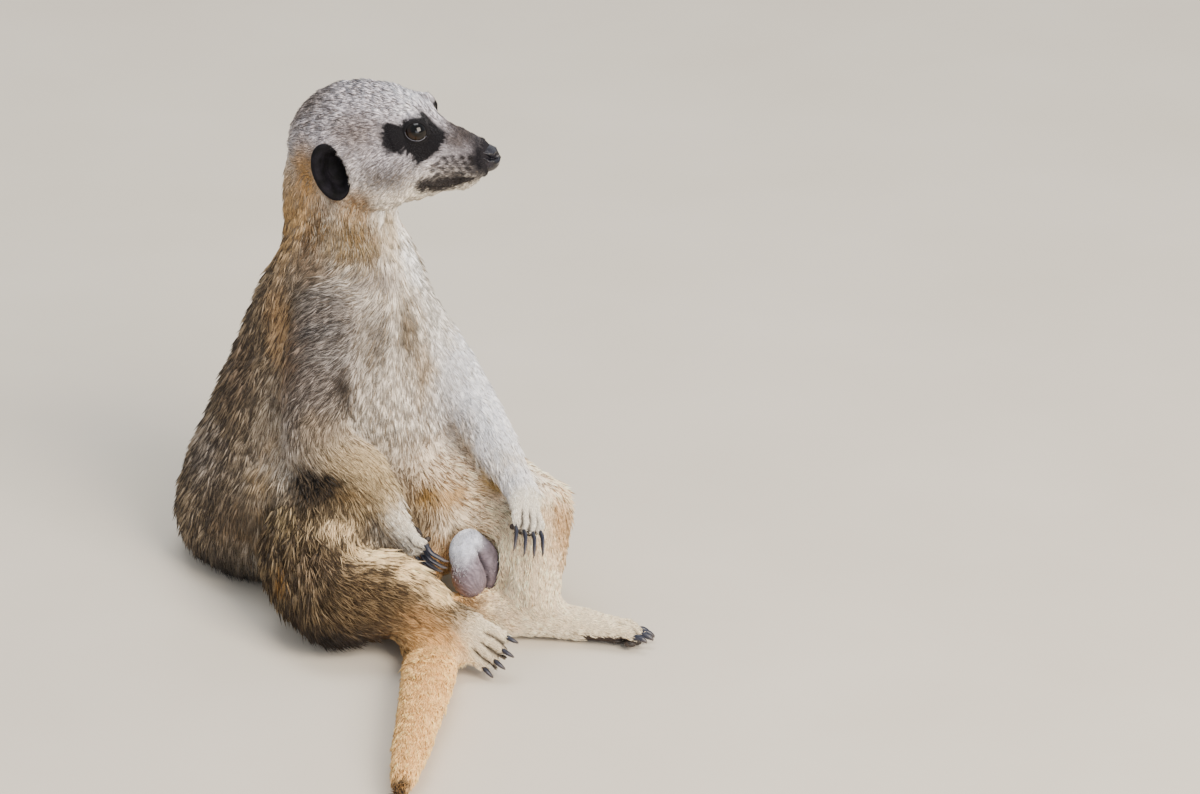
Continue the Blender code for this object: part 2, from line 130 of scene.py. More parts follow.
# ---- the head's and trunk's own axes ----
HEAD_YAW = math.radians(-5)
HEAD_AXES = np.array(
    (
        (math.cos(HEAD_YAW), math.sin(HEAD_YAW), 0.0),
        (-math.sin(HEAD_YAW), math.cos(HEAD_YAW), 0.0),
        (0.0, 0.0, 1.0),
    )
)
NOSE_TIP = spot(68, 76, 180)
WRIST_RIGHT, WRIST_LEFT, ANKLE_RIGHT = (25, 19, 49), (77, 29, 54), (49.5, -15, 18.5)
CHEST_YAW = math.radians(-50)
TRUNK_AXES = np.array(
    (
        (math.cos(CHEST_YAW), math.sin(CHEST_YAW), 0.0),
        (-math.sin(CHEST_YAW), math.cos(CHEST_YAW), 0.0),
        (0.0, 0.0, 1.0),
    )
)


def in_head(forward: float, left: float, up: float) -> Array:
    """A place on the head: millimetres ahead of the nose tip, to the animal's left and above."""
    return NOSE_TIP + np.array((forward, left, up)) @ HEAD_AXES


def to_head(points: Array) -> Array:
    """Points in the head's own axes: forward, left and up from the nose tip."""
    return (points - NOSE_TIP) @ HEAD_AXES.T


class Side(Enum):
    """The animal's own right and left, with the sign that goes with each."""

    RIGHT = -1
    LEFT = 1

    @property
    def word(self) -> str:
        """The side as node names spell it."""
        return self.name.lower()


# ---- meshes ----
def make_piece(
    name: str, points: Array, faces: Array, slot: str = "", finish: Finish | None = None
) -> bpy.types.Object:
    """Makes one smooth-shaded mesh object at the origin and lets it ride on the body.

    Args:
        name: the piece's name.
        points: corners in millimetres, one row each.
        faces: corner numbers, three or four in a row.
        slot: the record's material slot, which this function does not use.
        finish: what it is dressed in, if that is its own.

    Returns:
        The new object.
    """
    mesh = bpy.data.meshes.new(name)
    sides = faces.shape[1]
    mesh.vertices.add(len(points))
    mesh.vertices.foreach_set("co", (points * MM).astype(np.float32).ravel())
    mesh.loops.add(faces.size)
    mesh.loops.foreach_set("vertex_index", faces.astype(np.int32).ravel())
    mesh.polygons.add(len(faces))
    mesh.polygons.foreach_set("loop_start", np.arange(0, faces.size, sides, dtype=np.int32))
    mesh.polygons.foreach_set("use_smooth", np.ones(len(faces), dtype=bool))
    mesh.update(calc_edges=True)
    mesh.validate()
    made = bpy.data.objects.new(name, mesh)
    bpy.context.scene.collection.objects.link(made)
    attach(made, "root")
    if finish:
        mesh.materials.append(finish.make())
    return made


def paint(made: bpy.types.Object, name: str, colours: Array) -> None:
    """Stores one linear colour for each corner of the mesh.

    Args:
        made: the object.
        name: the attribute's name.
        colours: three or two linear values a corner.
    """
    stored = made.data.attributes.new(name, "FLOAT_COLOR", "POINT")
    full = np.ones((len(colours), 4), dtype=np.float32)
    full[:, : colours.shape[1]] = colours
    stored.data.foreach_set("color", full.ravel())


def lay_map(made: bpy.types.Object, places: Array, name: str) -> None:
    """Stores a UV map from one place for each corner of the mesh.

    Args:
        made: the object.
        places: two map numbers for each corner.
        name: the map's name.
    """
    mesh = made.data
    corner = np.empty(len(mesh.loops), dtype=np.int32)
    mesh.loops.foreach_get("vertex_index", corner)
    layer = mesh.uv_layers.new(name=name)
    layer.data.foreach_set("uv", places[corner].astype(np.float32).ravel())


def grid_faces(rows: int, columns: int, start: int = 0) -> Array:
    """Quads of a grid that closes round its columns: row by row, each cell's four corners.

    Args:
        rows: rings of corners.
        columns: corners in each.
        start: the first corner's number.

    Returns:
        Four corner numbers in each row.
    """
    row, column = np.meshgrid(np.arange(rows - 1), np.arange(columns), indexing="ij")
    here = row * columns + column
    beside = row * columns + (column + 1) % columns
    return np.stack((here, beside, beside + columns, here + columns), -1).reshape(-1, 4) + start


def tube(path: Array, widths: Array, heights: Array, level: Array, around: int = 10) -> tuple[Array, Array]:
    """A closed tube along a path: at each point an ellipse square to the path, with a pole at both ends.

    Args:
        path: points along the middle.
        widths: half-sizes across, one for each point.
        heights: half-sizes along level.
        level: the direction that height follows.
        around: corners in each ellipse.

    Returns:
        Points and quads. A pole is a ring that has shrunk to nothing, which shading closes.
    """
    heading = unit(np.gradient(path, axis=0))
    side = unit(np.cross(heading, level))
    top = np.cross(side, heading)
    turn = np.linspace(0, 2 * math.pi, around, endpoint=False)
    ring = (
        path[:, None]
        + side[:, None] * (widths[:, None] * np.cos(turn))[..., None]
        + top[:, None] * (heights[:, None] * np.sin(turn))[..., None]
    )
    return ring.reshape(-1, 3), grid_faces(len(path), around)[:, ::-1]


def ball_angles(rings: int, around: int) -> tuple[Array, Array]:
    """The two angles of a ball's grid: down from the pole as a column, and round the axis as a row."""
    return np.linspace(0, math.pi, rings)[:, None], np.linspace(0, 2 * math.pi, around, endpoint=False)[None]


def ball_ways(rings: int, around: int) -> Array:
    """The grid's directions, by sine and cosine of the two angles, with the pole along the third axis.

    Args:
        rings: corners from pole to pole.
        around: corners in each ring.

    Returns:
        One unit row for each corner.
    """
    polar, turn = ball_angles(rings, around)
    way = (np.sin(polar) * np.cos(turn), np.sin(polar) * np.sin(turn), np.cos(polar) + 0 * turn)
    return np.stack(way, -1).reshape(-1, 3)


def curve_through(knots: Array, count: int) -> Array:
    """Points spread along a smooth curve through the knots, by Catmull and Rom's cubic.

    Args:
        knots: the points it passes.
        count: how many points to give.

    Returns:
        The points.
    """
    spread = np.linspace(0, len(knots) - 1, count)
    step = np.minimum(spread.astype(int), len(knots) - 2)
    t = (spread - step)[:, None]
    grown = np.vstack((2 * knots[0] - knots[1], knots, 2 * knots[-1] - knots[-2]))
    a, b, c, d = (grown[step + i] for i in range(4))
    return (b * 2 + (c - a) * t + (a * 2 - b * 5 + c * 4 - d) * t**2 + (b * 3 - a - c * 3 + d) * t**3) / 2


def halved(faces: Array) -> Array:
    """Four-cornered faces as two triangles each."""
    return np.vstack((faces[:, [0, 1, 2]], faces[:, [0, 2, 3]]))


def joined(parts: list[tuple[Array, Array]]) -> tuple[Array, Array]:
    """Several point and face arrays as one pair.

    Args:
        parts: pairs of points and faces.

    Returns:
        One pair.
    """
    points, faces, start = [], [], 0
    for part_points, part_faces in parts:
        points.append(part_points)
        faces.append(part_faces + start)
        start += len(part_points)
    return np.vstack(points), np.vstack(faces)


# ---- materials ----
def shades(code: str) -> tuple[float, float, float, float]:
    """A hex colour as a node's linear colour value."""
    return (*linear(code), 1.0)


def fill(node: bpy.types.Node, inputs: dict) -> None:
    """Sets a node's inputs or joins them up.

    Args:
        node: the node.
        inputs: what each input takes, by name or number: another node's output, a hex colour or a value.
    """
    for name, given in inputs.items():
        if isinstance(given, Socket):
            node.id_data.links.new(given, node.inputs[name])
        else:
            node.inputs[name].default_value = shades(given) if isinstance(given, str) else given


def add_node(tree: Tree, kind: str, inputs: dict | None = None, **settings: object) -> bpy.types.Node:
    """Adds one node with its settings and its links.

    Args:
        tree: the material's node tree.
        kind: Blender's name for the node type.
        inputs: what its inputs take, as fill() reads it.
        settings: the node's own properties.

    Returns:
        The node.
    """
    node = tree.nodes.new(kind)
    for name, value in settings.items():
        setattr(node, name, value)
    fill(node, inputs or {})
    return node


# A Mix node that blends colours: its settings, the numbers of its inputs, and of its output.
COLOURS = {"data_type": "RGBA"}
FACTOR, FIRST, SECOND = 0, 6, 7
BLENDED = 2


def noise(tree: Tree, scale: float, detail: float, place: Socket) -> Socket:
    """A soft noise between 0 and 1, with so many lumps to one unit of the place that it reads."""
    lumps = {"Scale": scale, "Detail": detail, "Vector": place}
    return add_node(tree, "ShaderNodeTexNoise", lumps).outputs["Fac"]


def blend(
    tree: Tree, share: Socket | float, first: Socket | str, second: Socket | str, **settings: str
) -> Socket:
    """A colour from the first to the second by a share, or laid over it where the settings say so."""
    ends = {FACTOR: share, FIRST: first, SECOND: second}
    return add_node(tree, "ShaderNodeMix", ends, **COLOURS, **settings).outputs[BLENDED]


def raised(tree: Tree, height: Socket, relief_mm: float, sharpness: float) -> Socket:
    """The way the surface faces where a pattern raises it by up to the relief."""
    relief = {"Height": height, "Distance": relief_mm * MM, "Strength": sharpness}
    return add_node(tree, "ShaderNodeBump", relief).outputs["Normal"]


@dataclass(frozen=True)
class Finish:
    """What every finish has: a name, a gloss and a way to lay its nodes."""

    name: str
    roughness: float = 0.5
    specular: float = 0.5

    def make(self) -> bpy.types.Material:
        """Makes the material and fills its shader.

        Returns:
            The material.
        """
        material = bpy.data.materials.new(self.name)
        material.use_nodes = True
        tree = material.node_tree
        place = add_node(tree, "ShaderNodeTexCoord").outputs["Object"]
        gloss = {"Roughness": self.roughness, "Specular IOR Level": self.specular}
        fill(tree.nodes["Principled BSDF"], {**gloss, **self.dress(tree, place)})
        return material

    def dress(self, tree: Tree, place: Socket) -> dict:
        """Lays the finish's own nodes, if it has any, and gives what the shader's inputs take."""
        return {}

    def toned(self, tree: Tree, grain: Socket, spread: dict) -> Socket:
        """Takes the colours stored on the surface and makes them lighter and darker by a grain.

        Args:
            tree: the material's node tree.
            grain: a pattern between 0 and 1.
            spread: the ends of the ranges that turn the pattern into a brightness near one.

        Returns:
            The colour.
        """
        tone = add_node(tree, "ShaderNodeAttribute", attribute_name="tone").outputs["Color"]
        shade = add_node(tree, "ShaderNodeMapRange", {"Value": grain, **spread}).outputs[0]
        return add_node(tree, "ShaderNodeVectorMath", {0: tone, 1: shade}, operation="MULTIPLY").outputs[0]


@dataclass(frozen=True)
class Fur(Finish):
    """Guard hair, grown: matt shafts with a faint silky light along their edges."""

    strands_per_mm: float = 2.1

    def dress(self, tree: Tree, place: Socket) -> dict:
        """Breaks each tuft's own colours into hairs half a millimetre wide.

        Args:
            tree: the material's node tree.
            place: the Object coordinates.

        Returns:
            What the shader's inputs take.
        """
        strand = noise(tree, self.strands_per_mm / MM, 2.0, place)
        colour = self.toned(tree, strand, {"To Min": 0.72, "To Max": 1.28})
        return {"Base Color": colour, "Sheen Weight": 0.04, "Sheen Roughness": 0.4}


@dataclass(frozen=True)
class Skin(Finish):
    """Thin skin, matt and dusty: grained by short flat hairs under a coat, or creased across where bare."""

    grains_per_mm: float = 1.1
    detail: float = 4.0
    drawn_out: float = 1.0
    seen: tuple[float, float] = (0.0, 1.0)
    shade: tuple[float, float] = (0.72, 1.22)
    relief_mm: float = 0.25
    sharpness: float = 0.6

    def dress(self, tree: Tree, place: Socket) -> dict:
        """Shades the stored colours by grains or creases, which it also raises.

        Args:
            tree: the material's node tree.
            place: the Object coordinates.

        Returns:
            What the shader's inputs take.
        """
        stretch = {"Scale": (1.0, 1.0, self.drawn_out), "Vector": place}
        drawn = add_node(tree, "ShaderNodeMapping", stretch).outputs[0]
        grain = noise(tree, self.grains_per_mm / MM, self.detail, drawn)
        ends = zip(("From Min", "From Max", "To Min", "To Max"), (*self.seen, *self.shade))
        return {
            "Base Color": self.toned(tree, grain, dict(ends)),
            "Normal": raised(tree, grain, self.relief_mm, self.sharpness),
        }


@dataclass(frozen=True)
class BareSkin(Finish):
    """Hairless skin such as an ear, pad or nose: dark, finely cobbled, a little oily where it is rubbed."""

    deep: str = "#17161b"
    worn: str = "#35323a"
    cobble_mm: float = 0.5
    relief_mm: float = 0.12
    oil: float = 0.1
    patches_per_mm: float = 0.26

    def dress(self, tree: Tree, place: Socket) -> dict:
        """Sinks cells one cobble wide at their joints, and shifts broad patches from deep colour to worn.

        Args:
            tree: the material's node tree.
            place: the Object coordinates.

        Returns:
            What the shader's inputs take.
        """
        patch = noise(tree, self.patches_per_mm / MM, 3.0, place)
        cobbles = {"Scale": 1000.0 / self.cobble_mm, "Vector": place}
        cell = add_node(tree, "ShaderNodeTexVoronoi", cobbles).outputs["Distance"]
        spread = {"Value": patch, "From Min": 0.35, "From Max": 0.7}
        rubbed = add_node(tree, "ShaderNodeMapRange", spread).outputs[0]
        ground = blend(tree, rubbed, self.deep, self.worn)
        walls = {"Value": cell, "From Min": 0.0, "From Max": 0.6, "To Min": 1.0, "To Max": 0.0}
        joint = add_node(tree, "ShaderNodeMapRange", walls).outputs[0]
        return {
            "Base Color": blend(tree, 0.35, ground, joint, blend_type="OVERLAY"),
            "Normal": raised(tree, joint, self.relief_mm, 0.8),
            "Coat Weight": self.oil,
            "Coat Roughness": 0.25,
        }


@dataclass(frozen=True)
class Horn(Finish):
    """Keratin, grown in layers along the claw: blue-black, paler and scuffed at the point, dully polished."""

    relief_mm: float = 0.08

    def dress(self, tree: Tree, place: Socket) -> dict:
        """Runs streaks along the claw by its own map, and brings in wear towards the tip.

        Args:
            tree: the material's node tree.
            place: the Object coordinates, which the claw's own map stands in for.

        Returns:
            What the shader's inputs take.
        """
        own = add_node(tree, "ShaderNodeUVMap", uv_map="along").outputs["UV"]
        drawn = add_node(tree, "ShaderNodeMapping", {"Scale": (24.0, 1.5, 1.0), "Vector": own}).outputs[0]
        streak = noise(tree, 2.0, 5.0, drawn)
        along = add_node(tree, "ShaderNodeSeparateXYZ", {0: own}).outputs["Y"]
        scuffs = {"Value": along, "From Min": 0.55, "From Max": 1.0, "To Min": 0.0, "To Max": 0.6}
        wear = add_node(tree, "ShaderNodeMapRange", scuffs).outputs[0]
        return {
            "Base Color": blend(tree, wear, blend(tree, streak, "#0b0c14", "#2c3042"), "#6a5f55"),
            "Normal": raised(tree, streak, self.relief_mm, 0.6),
        }


@dataclass(frozen=True)
class EyeGlass(Finish):
    """A wet eyeball: clear cornea, wide dark pupil, an iris with a painted amber glow low down, and a
    near-black rim.
    """

    stops: tuple[tuple[float, str], ...] = (
        (0.0, "#030303"),
        (0.58, "#030303"),
        (0.65, "#ffffff"),
        (0.84, "#ffffff"),
        (0.94, "#080505"),
        (1.0, "#120c0a"),
    )

    def dress(self, tree: Tree, place: Socket) -> dict:
        """Draws the iris by the stored distance from the eye's axis, with fibres that run out from the pupil.

        Args:
            tree: the material's node tree.
            place: the Object coordinates, which the stored disc stands in for.

        Returns:
            What the shader's inputs take.
        """
        disc = add_node(tree, "ShaderNodeAttribute", attribute_name="disc").outputs["Color"]
        split = add_node(tree, "ShaderNodeSeparateColor", {0: disc}).outputs
        turn = add_node(tree, "ShaderNodeCombineXYZ", {0: split["Green"]}).outputs[0]
        # Painted light: amber low and behind, where the cornea gathers light; near black above, in the lid's
        # shade.
        iris_painted_glow = blend(tree, noise(tree, 34.0, 3.0, turn), "#080402", "#2e1a07")
        fall = {"Value": split["Blue"], "From Min": 0.7, "From Max": 1.05}
        low = add_node(tree, "ShaderNodeMapRange", fall).outputs[0]
        iris = blend(tree, low, "#0d0807", iris_painted_glow)
        ramp = add_node(tree, "ShaderNodeValToRGB", {"Fac": split["Red"]})
        elements = ramp.color_ramp.elements
        for index, (stop, code) in enumerate(self.stops):
            found = elements.new(stop) if index else elements[0]
            found.position, found.color = stop, shades(code)
        elements.remove(elements[-1])
        return {
            "Base Color": blend(tree, 1.0, ramp.outputs["Color"], iris, blend_type="MULTIPLY"),
            "Coat Weight": 1.0,
            "Coat Roughness": 0.02,
            "Coat IOR": 1.38,
        }


@dataclass(frozen=True)
class Mottled(Finish):
    """A surface of two near colours in soft patches, such as a wet eyelid's edge or a plaster floor."""

    first: str = "#cfc6b6"
    second: str = "#dcd4c6"
    patches_per_mm: float = 0.009
    detail: float = 3.0
    film: float = 0.0

    def dress(self, tree: Tree, place: Socket) -> dict:
        """Blends the two colours by patches, under a film of water where there is one.

        Args:
            tree: the material's node tree.
            place: the Object coordinates.

        Returns:
            What the shader's inputs take.
        """
        patch = noise(tree, self.patches_per_mm / MM, self.detail, place)
        colour = blend(tree, patch, self.first, self.second)
        return {"Base Color": colour, "Coat Weight": self.film, "Coat Roughness": 0.08}


# ---- how the coat grows ----
@dataclass(frozen=True)
class Pelage:
    """How hair grows on one stretch: millimetres, degrees off the skin, and tufts on a square millimetre."""

    depth: float
    length: float
    width: float
    lift: float
    density: float
    droop: float
    ticking: float
    ground: str
    guard: str

    def row(self) -> Array:
        """The numbers and colours as one row."""
        plain = (self.depth, self.length, self.width, self.lift, self.density, self.droop, self.ticking)
        return np.concatenate((plain, linear(self.ground), linear(self.guard)))


MUZZLE = Pelage(0.4, 1.7, 0.13, 9, 13.0, 0.0, 0.26, "#a39da2", "#443a3b")
CROWN = Pelage(1.1, 3.3, 0.15, 9, 10.5, 0.0, 0.42, "#dbd6dd", "#4c4340")
CHIN = Pelage(0.8, 2.8, 0.16, 9, 9.0, 0.0, 0.03, "#e2d7c6", "#a8977f")
NAPE = Pelage(1.0, 5.5, 0.20, 10, 6.4, 0.02, 0.26, "#b49363", "#4a3520")
THROAT = Pelage(1.7, 5.5, 0.20, 9, 5.6, 0.02, 0.05, "#f2eee8", "#d6ccba")
BACK = Pelage(0.9, 7.2, 0.24, 11, 5.6, 0.03, 0.54, "#9a8870", "#221a15")
BELLY = Pelage(2.2, 7.0, 0.22, 9, 5.2, 0.05, 0.09, "#e9e0d3", "#a3927a")
SHOULDER = Pelage(1.8, 6.0, 0.21, 9, 5.8, 0.02, 0.38, "#948a82", "#332a25")
FOREARM = Pelage(1.4, 4.8, 0.19, 9, 6.5, 0.02, 0.14, "#c5b08a", "#6f5a3d")
FAR_ARM = Pelage(1.4, 4.8, 0.19, 9, 5.8, 0.02, 0.06, "#e8eaf0", "#a59e95")
HAND = Pelage(0.5, 1.9, 0.15, 9, 9.5, 0.0, 0.04, "#f3ebdb", "#b5a284")
HAUNCH = Pelage(3.0, 8.2, 0.235, 13, 5.2, 0.16, 0.68, "#7f6c4f", "#2b1d10")
SHANK = Pelage(2.4, 6.0, 0.21, 11, 6.0, 0.12, 0.58, "#7d6748", "#2e200f")
FOOT = Pelage(0.6, 2.2, 0.16, 9, 9.0, 0.0, 0.04, "#eedfc2", "#a98e62")
FAR_LEG = Pelage(2.0, 6.6, 0.21, 12, 5.6, 0.06, 0.24, "#f6dfbd", "#86643a")
FAR_SHANK = Pelage(1.3, 3.6, 0.18, 9, 6.5, 0.0, 0.08, "#fde7c6", "#a3845a")
TAIL = Pelage(1.7, 4.4, 0.20, 9, 6.0, 0.0, 0.05, "#f9c986", "#b58548")
VELVET = Pelage(0.3, 1.4, 0.11, 14, 6.0, 0.0, 0.04, "#e6e8ef", "#b4b5bf")


@dataclass(frozen=True)
class Bone:
    """One length of the body: its middle line, half-widths, and the coat of its back and of its underside."""

    name: str
    route: tuple
    radii: tuple
    outer: Pelage
    inner: Pelage
    front: Place = (0.0, 0.0, -1.0)


def bones() -> list[Bone]:
    """Every length of the body, in the order in which the hair runs along it.

    Returns:
        The bones.
    """
    chest = tuple(TRUNK_AXES[0])
    wrist_right, wrist_left, ankle_right = spots(WRIST_RIGHT, WRIST_LEFT, ANKLE_RIGHT)
    palm_right, palm_left = np.array((0.62, -0.29, -0.73)), np.array((0.14, -0.88, -0.45))
    sole = np.array((0.71, -0.63, -0.31))
    trunk = spots((8, 81, 138), (6, 83, 104), (1.5, 88.5, 80), (-3, 93, 56), (-12, 97, 8))
    tail = spots((14, 78, 17), (38, 6, 8), (41, -52, 9.5), (38, -90, 9.5), (33, -148, 7))
    return [
        Bone(
            "muzzle", (in_head(0, 0, 0), in_head(-14, 0, -2), in_head(-30, 0, 3)), (5, 11, 19), MUZZLE, CHIN
        ),
        Bone(
            "skull", (in_head(-34, 0, 4), in_head(-56, 0, 4), in_head(-84, 0, 4)), (22, 27, 13), CROWN, CHIN
        ),
        Bone("neck", spots((4, 81, 182), (5, 82, 160), (6, 82, 142)), (20, 24, 25), NAPE, THROAT, chest),
        Bone("trunk", trunk, (27, 38, 45, 50, 51), BACK, BELLY, chest),
        Bone(
            "upper_right", spots((1, 55, 122), (-3, 46, 96), (-7, 38, 73)), (17, 16.5, 13.5), SHOULDER, BELLY
        ),
        Bone("fore_right", spots((-7, 38, 73), (12, 29, 64), WRIST_RIGHT), (13, 11.8, 7.8), FOREARM, FOREARM),
        Bone("hand_right", (wrist_right, wrist_right + palm_right * 24), (7.5, 6), HAND, HAND),
        Bone(
            "upper_left", spots((22, 89, 120), (39, 81, 96), (55, 73, 77)), (16, 14.5, 11.5), FAR_ARM, BELLY
        ),
        Bone("fore_left", spots((55, 73, 77), (68, 51, 67), WRIST_LEFT), (11.5, 10.2, 6.8), FAR_ARM, FAR_ARM),
        Bone("hand_left", (wrist_left, wrist_left + palm_left * 24), (7, 6), HAND, HAND),
        Bone("thigh_right", spots((6, 50, 37), (-2, 20, 29), (4, -3, 22)), (32, 27, 20), HAUNCH, HAUNCH),
        Bone("shank_right", spots((4, -3, 22), (25, -5, 25), ANKLE_RIGHT), (20, 18.5, 10), SHANK, SHANK),
        Bone("foot_right", (ankle_right, ankle_right + sole * 32), (9, 7), FOOT, FOOT),
        Bone("thigh_left", spots((46, 76, 36), (66, 60, 39), (83, 44, 41)), (29, 22, 15), FAR_LEG, FAR_LEG),
        Bone(
            "shank_left", spots((83, 44, 41), (83, 26, 28), (82, 9, 16)), (15, 13.5, 9.5), FAR_SHANK, FAR_SHANK
        ),
        Bone("foot_left", spots((72, 9, 9), (98, 6.5, 7.4), (126, 3, 5)), (9, 8, 6), FOOT, FOOT),
        Bone("tail", tail, (16, 14, 12, 10, 6), TAIL, TAIL),
    ]


@dataclass
class Skeleton:
    """The bones, sampled closely enough that the nearest sample tells where a point lies on the body."""

    lengths: list[Bone]
    step: float = 3.0
    batch: int = 20000
    points: Array = field(init=False)
    radii: Array = field(init=False)
    heading: Array = field(init=False)
    bone: Array = field(init=False)
    along: Array = field(init=False)

    def __post_init__(self) -> None:
        """Samples each middle line, its half-widths and its headings."""
        points, radii, heading, number, along = [], [], [], [], []
        for index, bone in enumerate(self.lengths):
            knots = np.array(bone.route)
            reach = np.linalg.norm(np.diff(knots, axis=0), axis=1).sum()
            count = max(3, int(reach / self.step))
            line = curve_through(knots, count)
            points.append(line)
            radii.append(np.interp(np.linspace(0, 1, count), np.linspace(0, 1, len(bone.radii)), bone.radii))
            heading.append(unit(np.gradient(line, axis=0)))
            number.append(np.full(count, index))
            along.append(np.linspace(0, 1, count))
        self.points, self.heading = np.vstack(points), np.vstack(heading)
        self.radii, self.bone, self.along = (np.concatenate(rows) for rows in (radii, number, along))

    def nearest(self, points: Array) -> Array:
        """The sample each point belongs to: the least distance from a middle line less its half-width.

        Args:
            points: places in millimetres, one row each.

        Returns:
            One sample number for each point.
        """
        found = []
        size = (self.points**2).sum(1)
        for start in range(0, len(points), self.batch):
            some = points[start : start + self.batch]
            square = (some**2).sum(1)[:, None] + size - 2 * some @ self.points.T
            found.append(np.argmin(np.sqrt(np.maximum(square, 0)) - self.radii, axis=1))
        return np.concatenate(found)

    def coat_rows(self, points: Array) -> Array:
        """Raw coat rows: the pelage, underside mixed with back by which way a point faces, and the lie.

        Args:
            points: places on the body.

        Returns:
            Thirteen pelage numbers and a three-part heading in each row.
        """
        sample = self.nearest(points)
        index = self.bone[sample]
        outer = np.array([bone.outer.row() for bone in self.lengths])[index]
        inner = np.array([bone.inner.row() for bone in self.lengths])[index]
        front = unit(np.array([bone.front for bone in self.lengths]))[index]
        out = (points - self.points[sample]) / self.radii[sample][:, None]
        facing = ease(((out * front).sum(1) - 0.05) / 0.5)
        return np.hstack((mixed(outer, inner, facing), self.heading[sample]))

    def unwrap(self, points: Array, chosen: list[str]) -> Array:
        """A place on a flat sheet for each point: turn about its bone across, and distance along the bone up.

        Args:
            points: places on the body.
            chosen: the bones that share the sheet, each in its own band.

        Returns:
            Two numbers between 0 and 1 in each row.
        """
        sample = self.nearest(points)
        names = [bone.name for bone in self.lengths]
        band = np.full(len(names), 0)
        for place, name in enumerate(chosen):
            band[names.index(name)] = place
        heading = self.heading[sample]
        level = unit(np.cross(heading, np.array((0.31, 0.22, 0.92))))
        upright = np.cross(heading, level)
        out = points - self.points[sample]
        turn = np.arctan2((out * level).sum(1), (out * upright).sum(1)) / (2 * math.pi) + 0.5
        slip = (out * heading).sum(1) / 160.0
        up = np.clip(self.along[sample] * 0.9 + 0.05 + slip, 0.01, 0.98)
        return np.stack((turn * 0.985 + 0.005, (band[self.bone[sample]] + up) / max(len(chosen), 1)), -1)


# ---- colours and painted shade ----
@dataclass(frozen=True)
class Patch:
    """A soft egg of colour on the coat: middle and half-sizes in the drawing's millimetres."""

    middle: Place
    half: Place
    colour: str
    strength: float = 1.0
    fade: float = 0.7
    ticking: float | None = None
    calm: ClassVar[float] = 1.0

    def away(self, points: Array) -> Array:
        """Points measured from the patch's middle."""
        return points - spot(*self.middle)

    def weight(self, points: Array, raggedness: Array) -> Array:
        """One well inside, falling to zero at the edge, which wavers with the raggedness."""
        reach = np.linalg.norm(self.away(points) / np.array(self.half), axis=1)
        return self.strength * ease((1.0 - (reach + raggedness * self.calm * 0.09)) / self.fade)


@dataclass(frozen=True)
class HeadPatch(Patch):
    """A patch on both sides of the head, with its middle and half-sizes in the head's own axes."""

    calm: ClassVar[float] = 0.45

    def away(self, points: Array) -> Array:
        """Points measured from the middle that lies on their own side of the head."""
        local = to_head(points)
        return np.stack((local[:, 0], np.abs(local[:, 1]), local[:, 2]), -1) - np.array(self.middle)


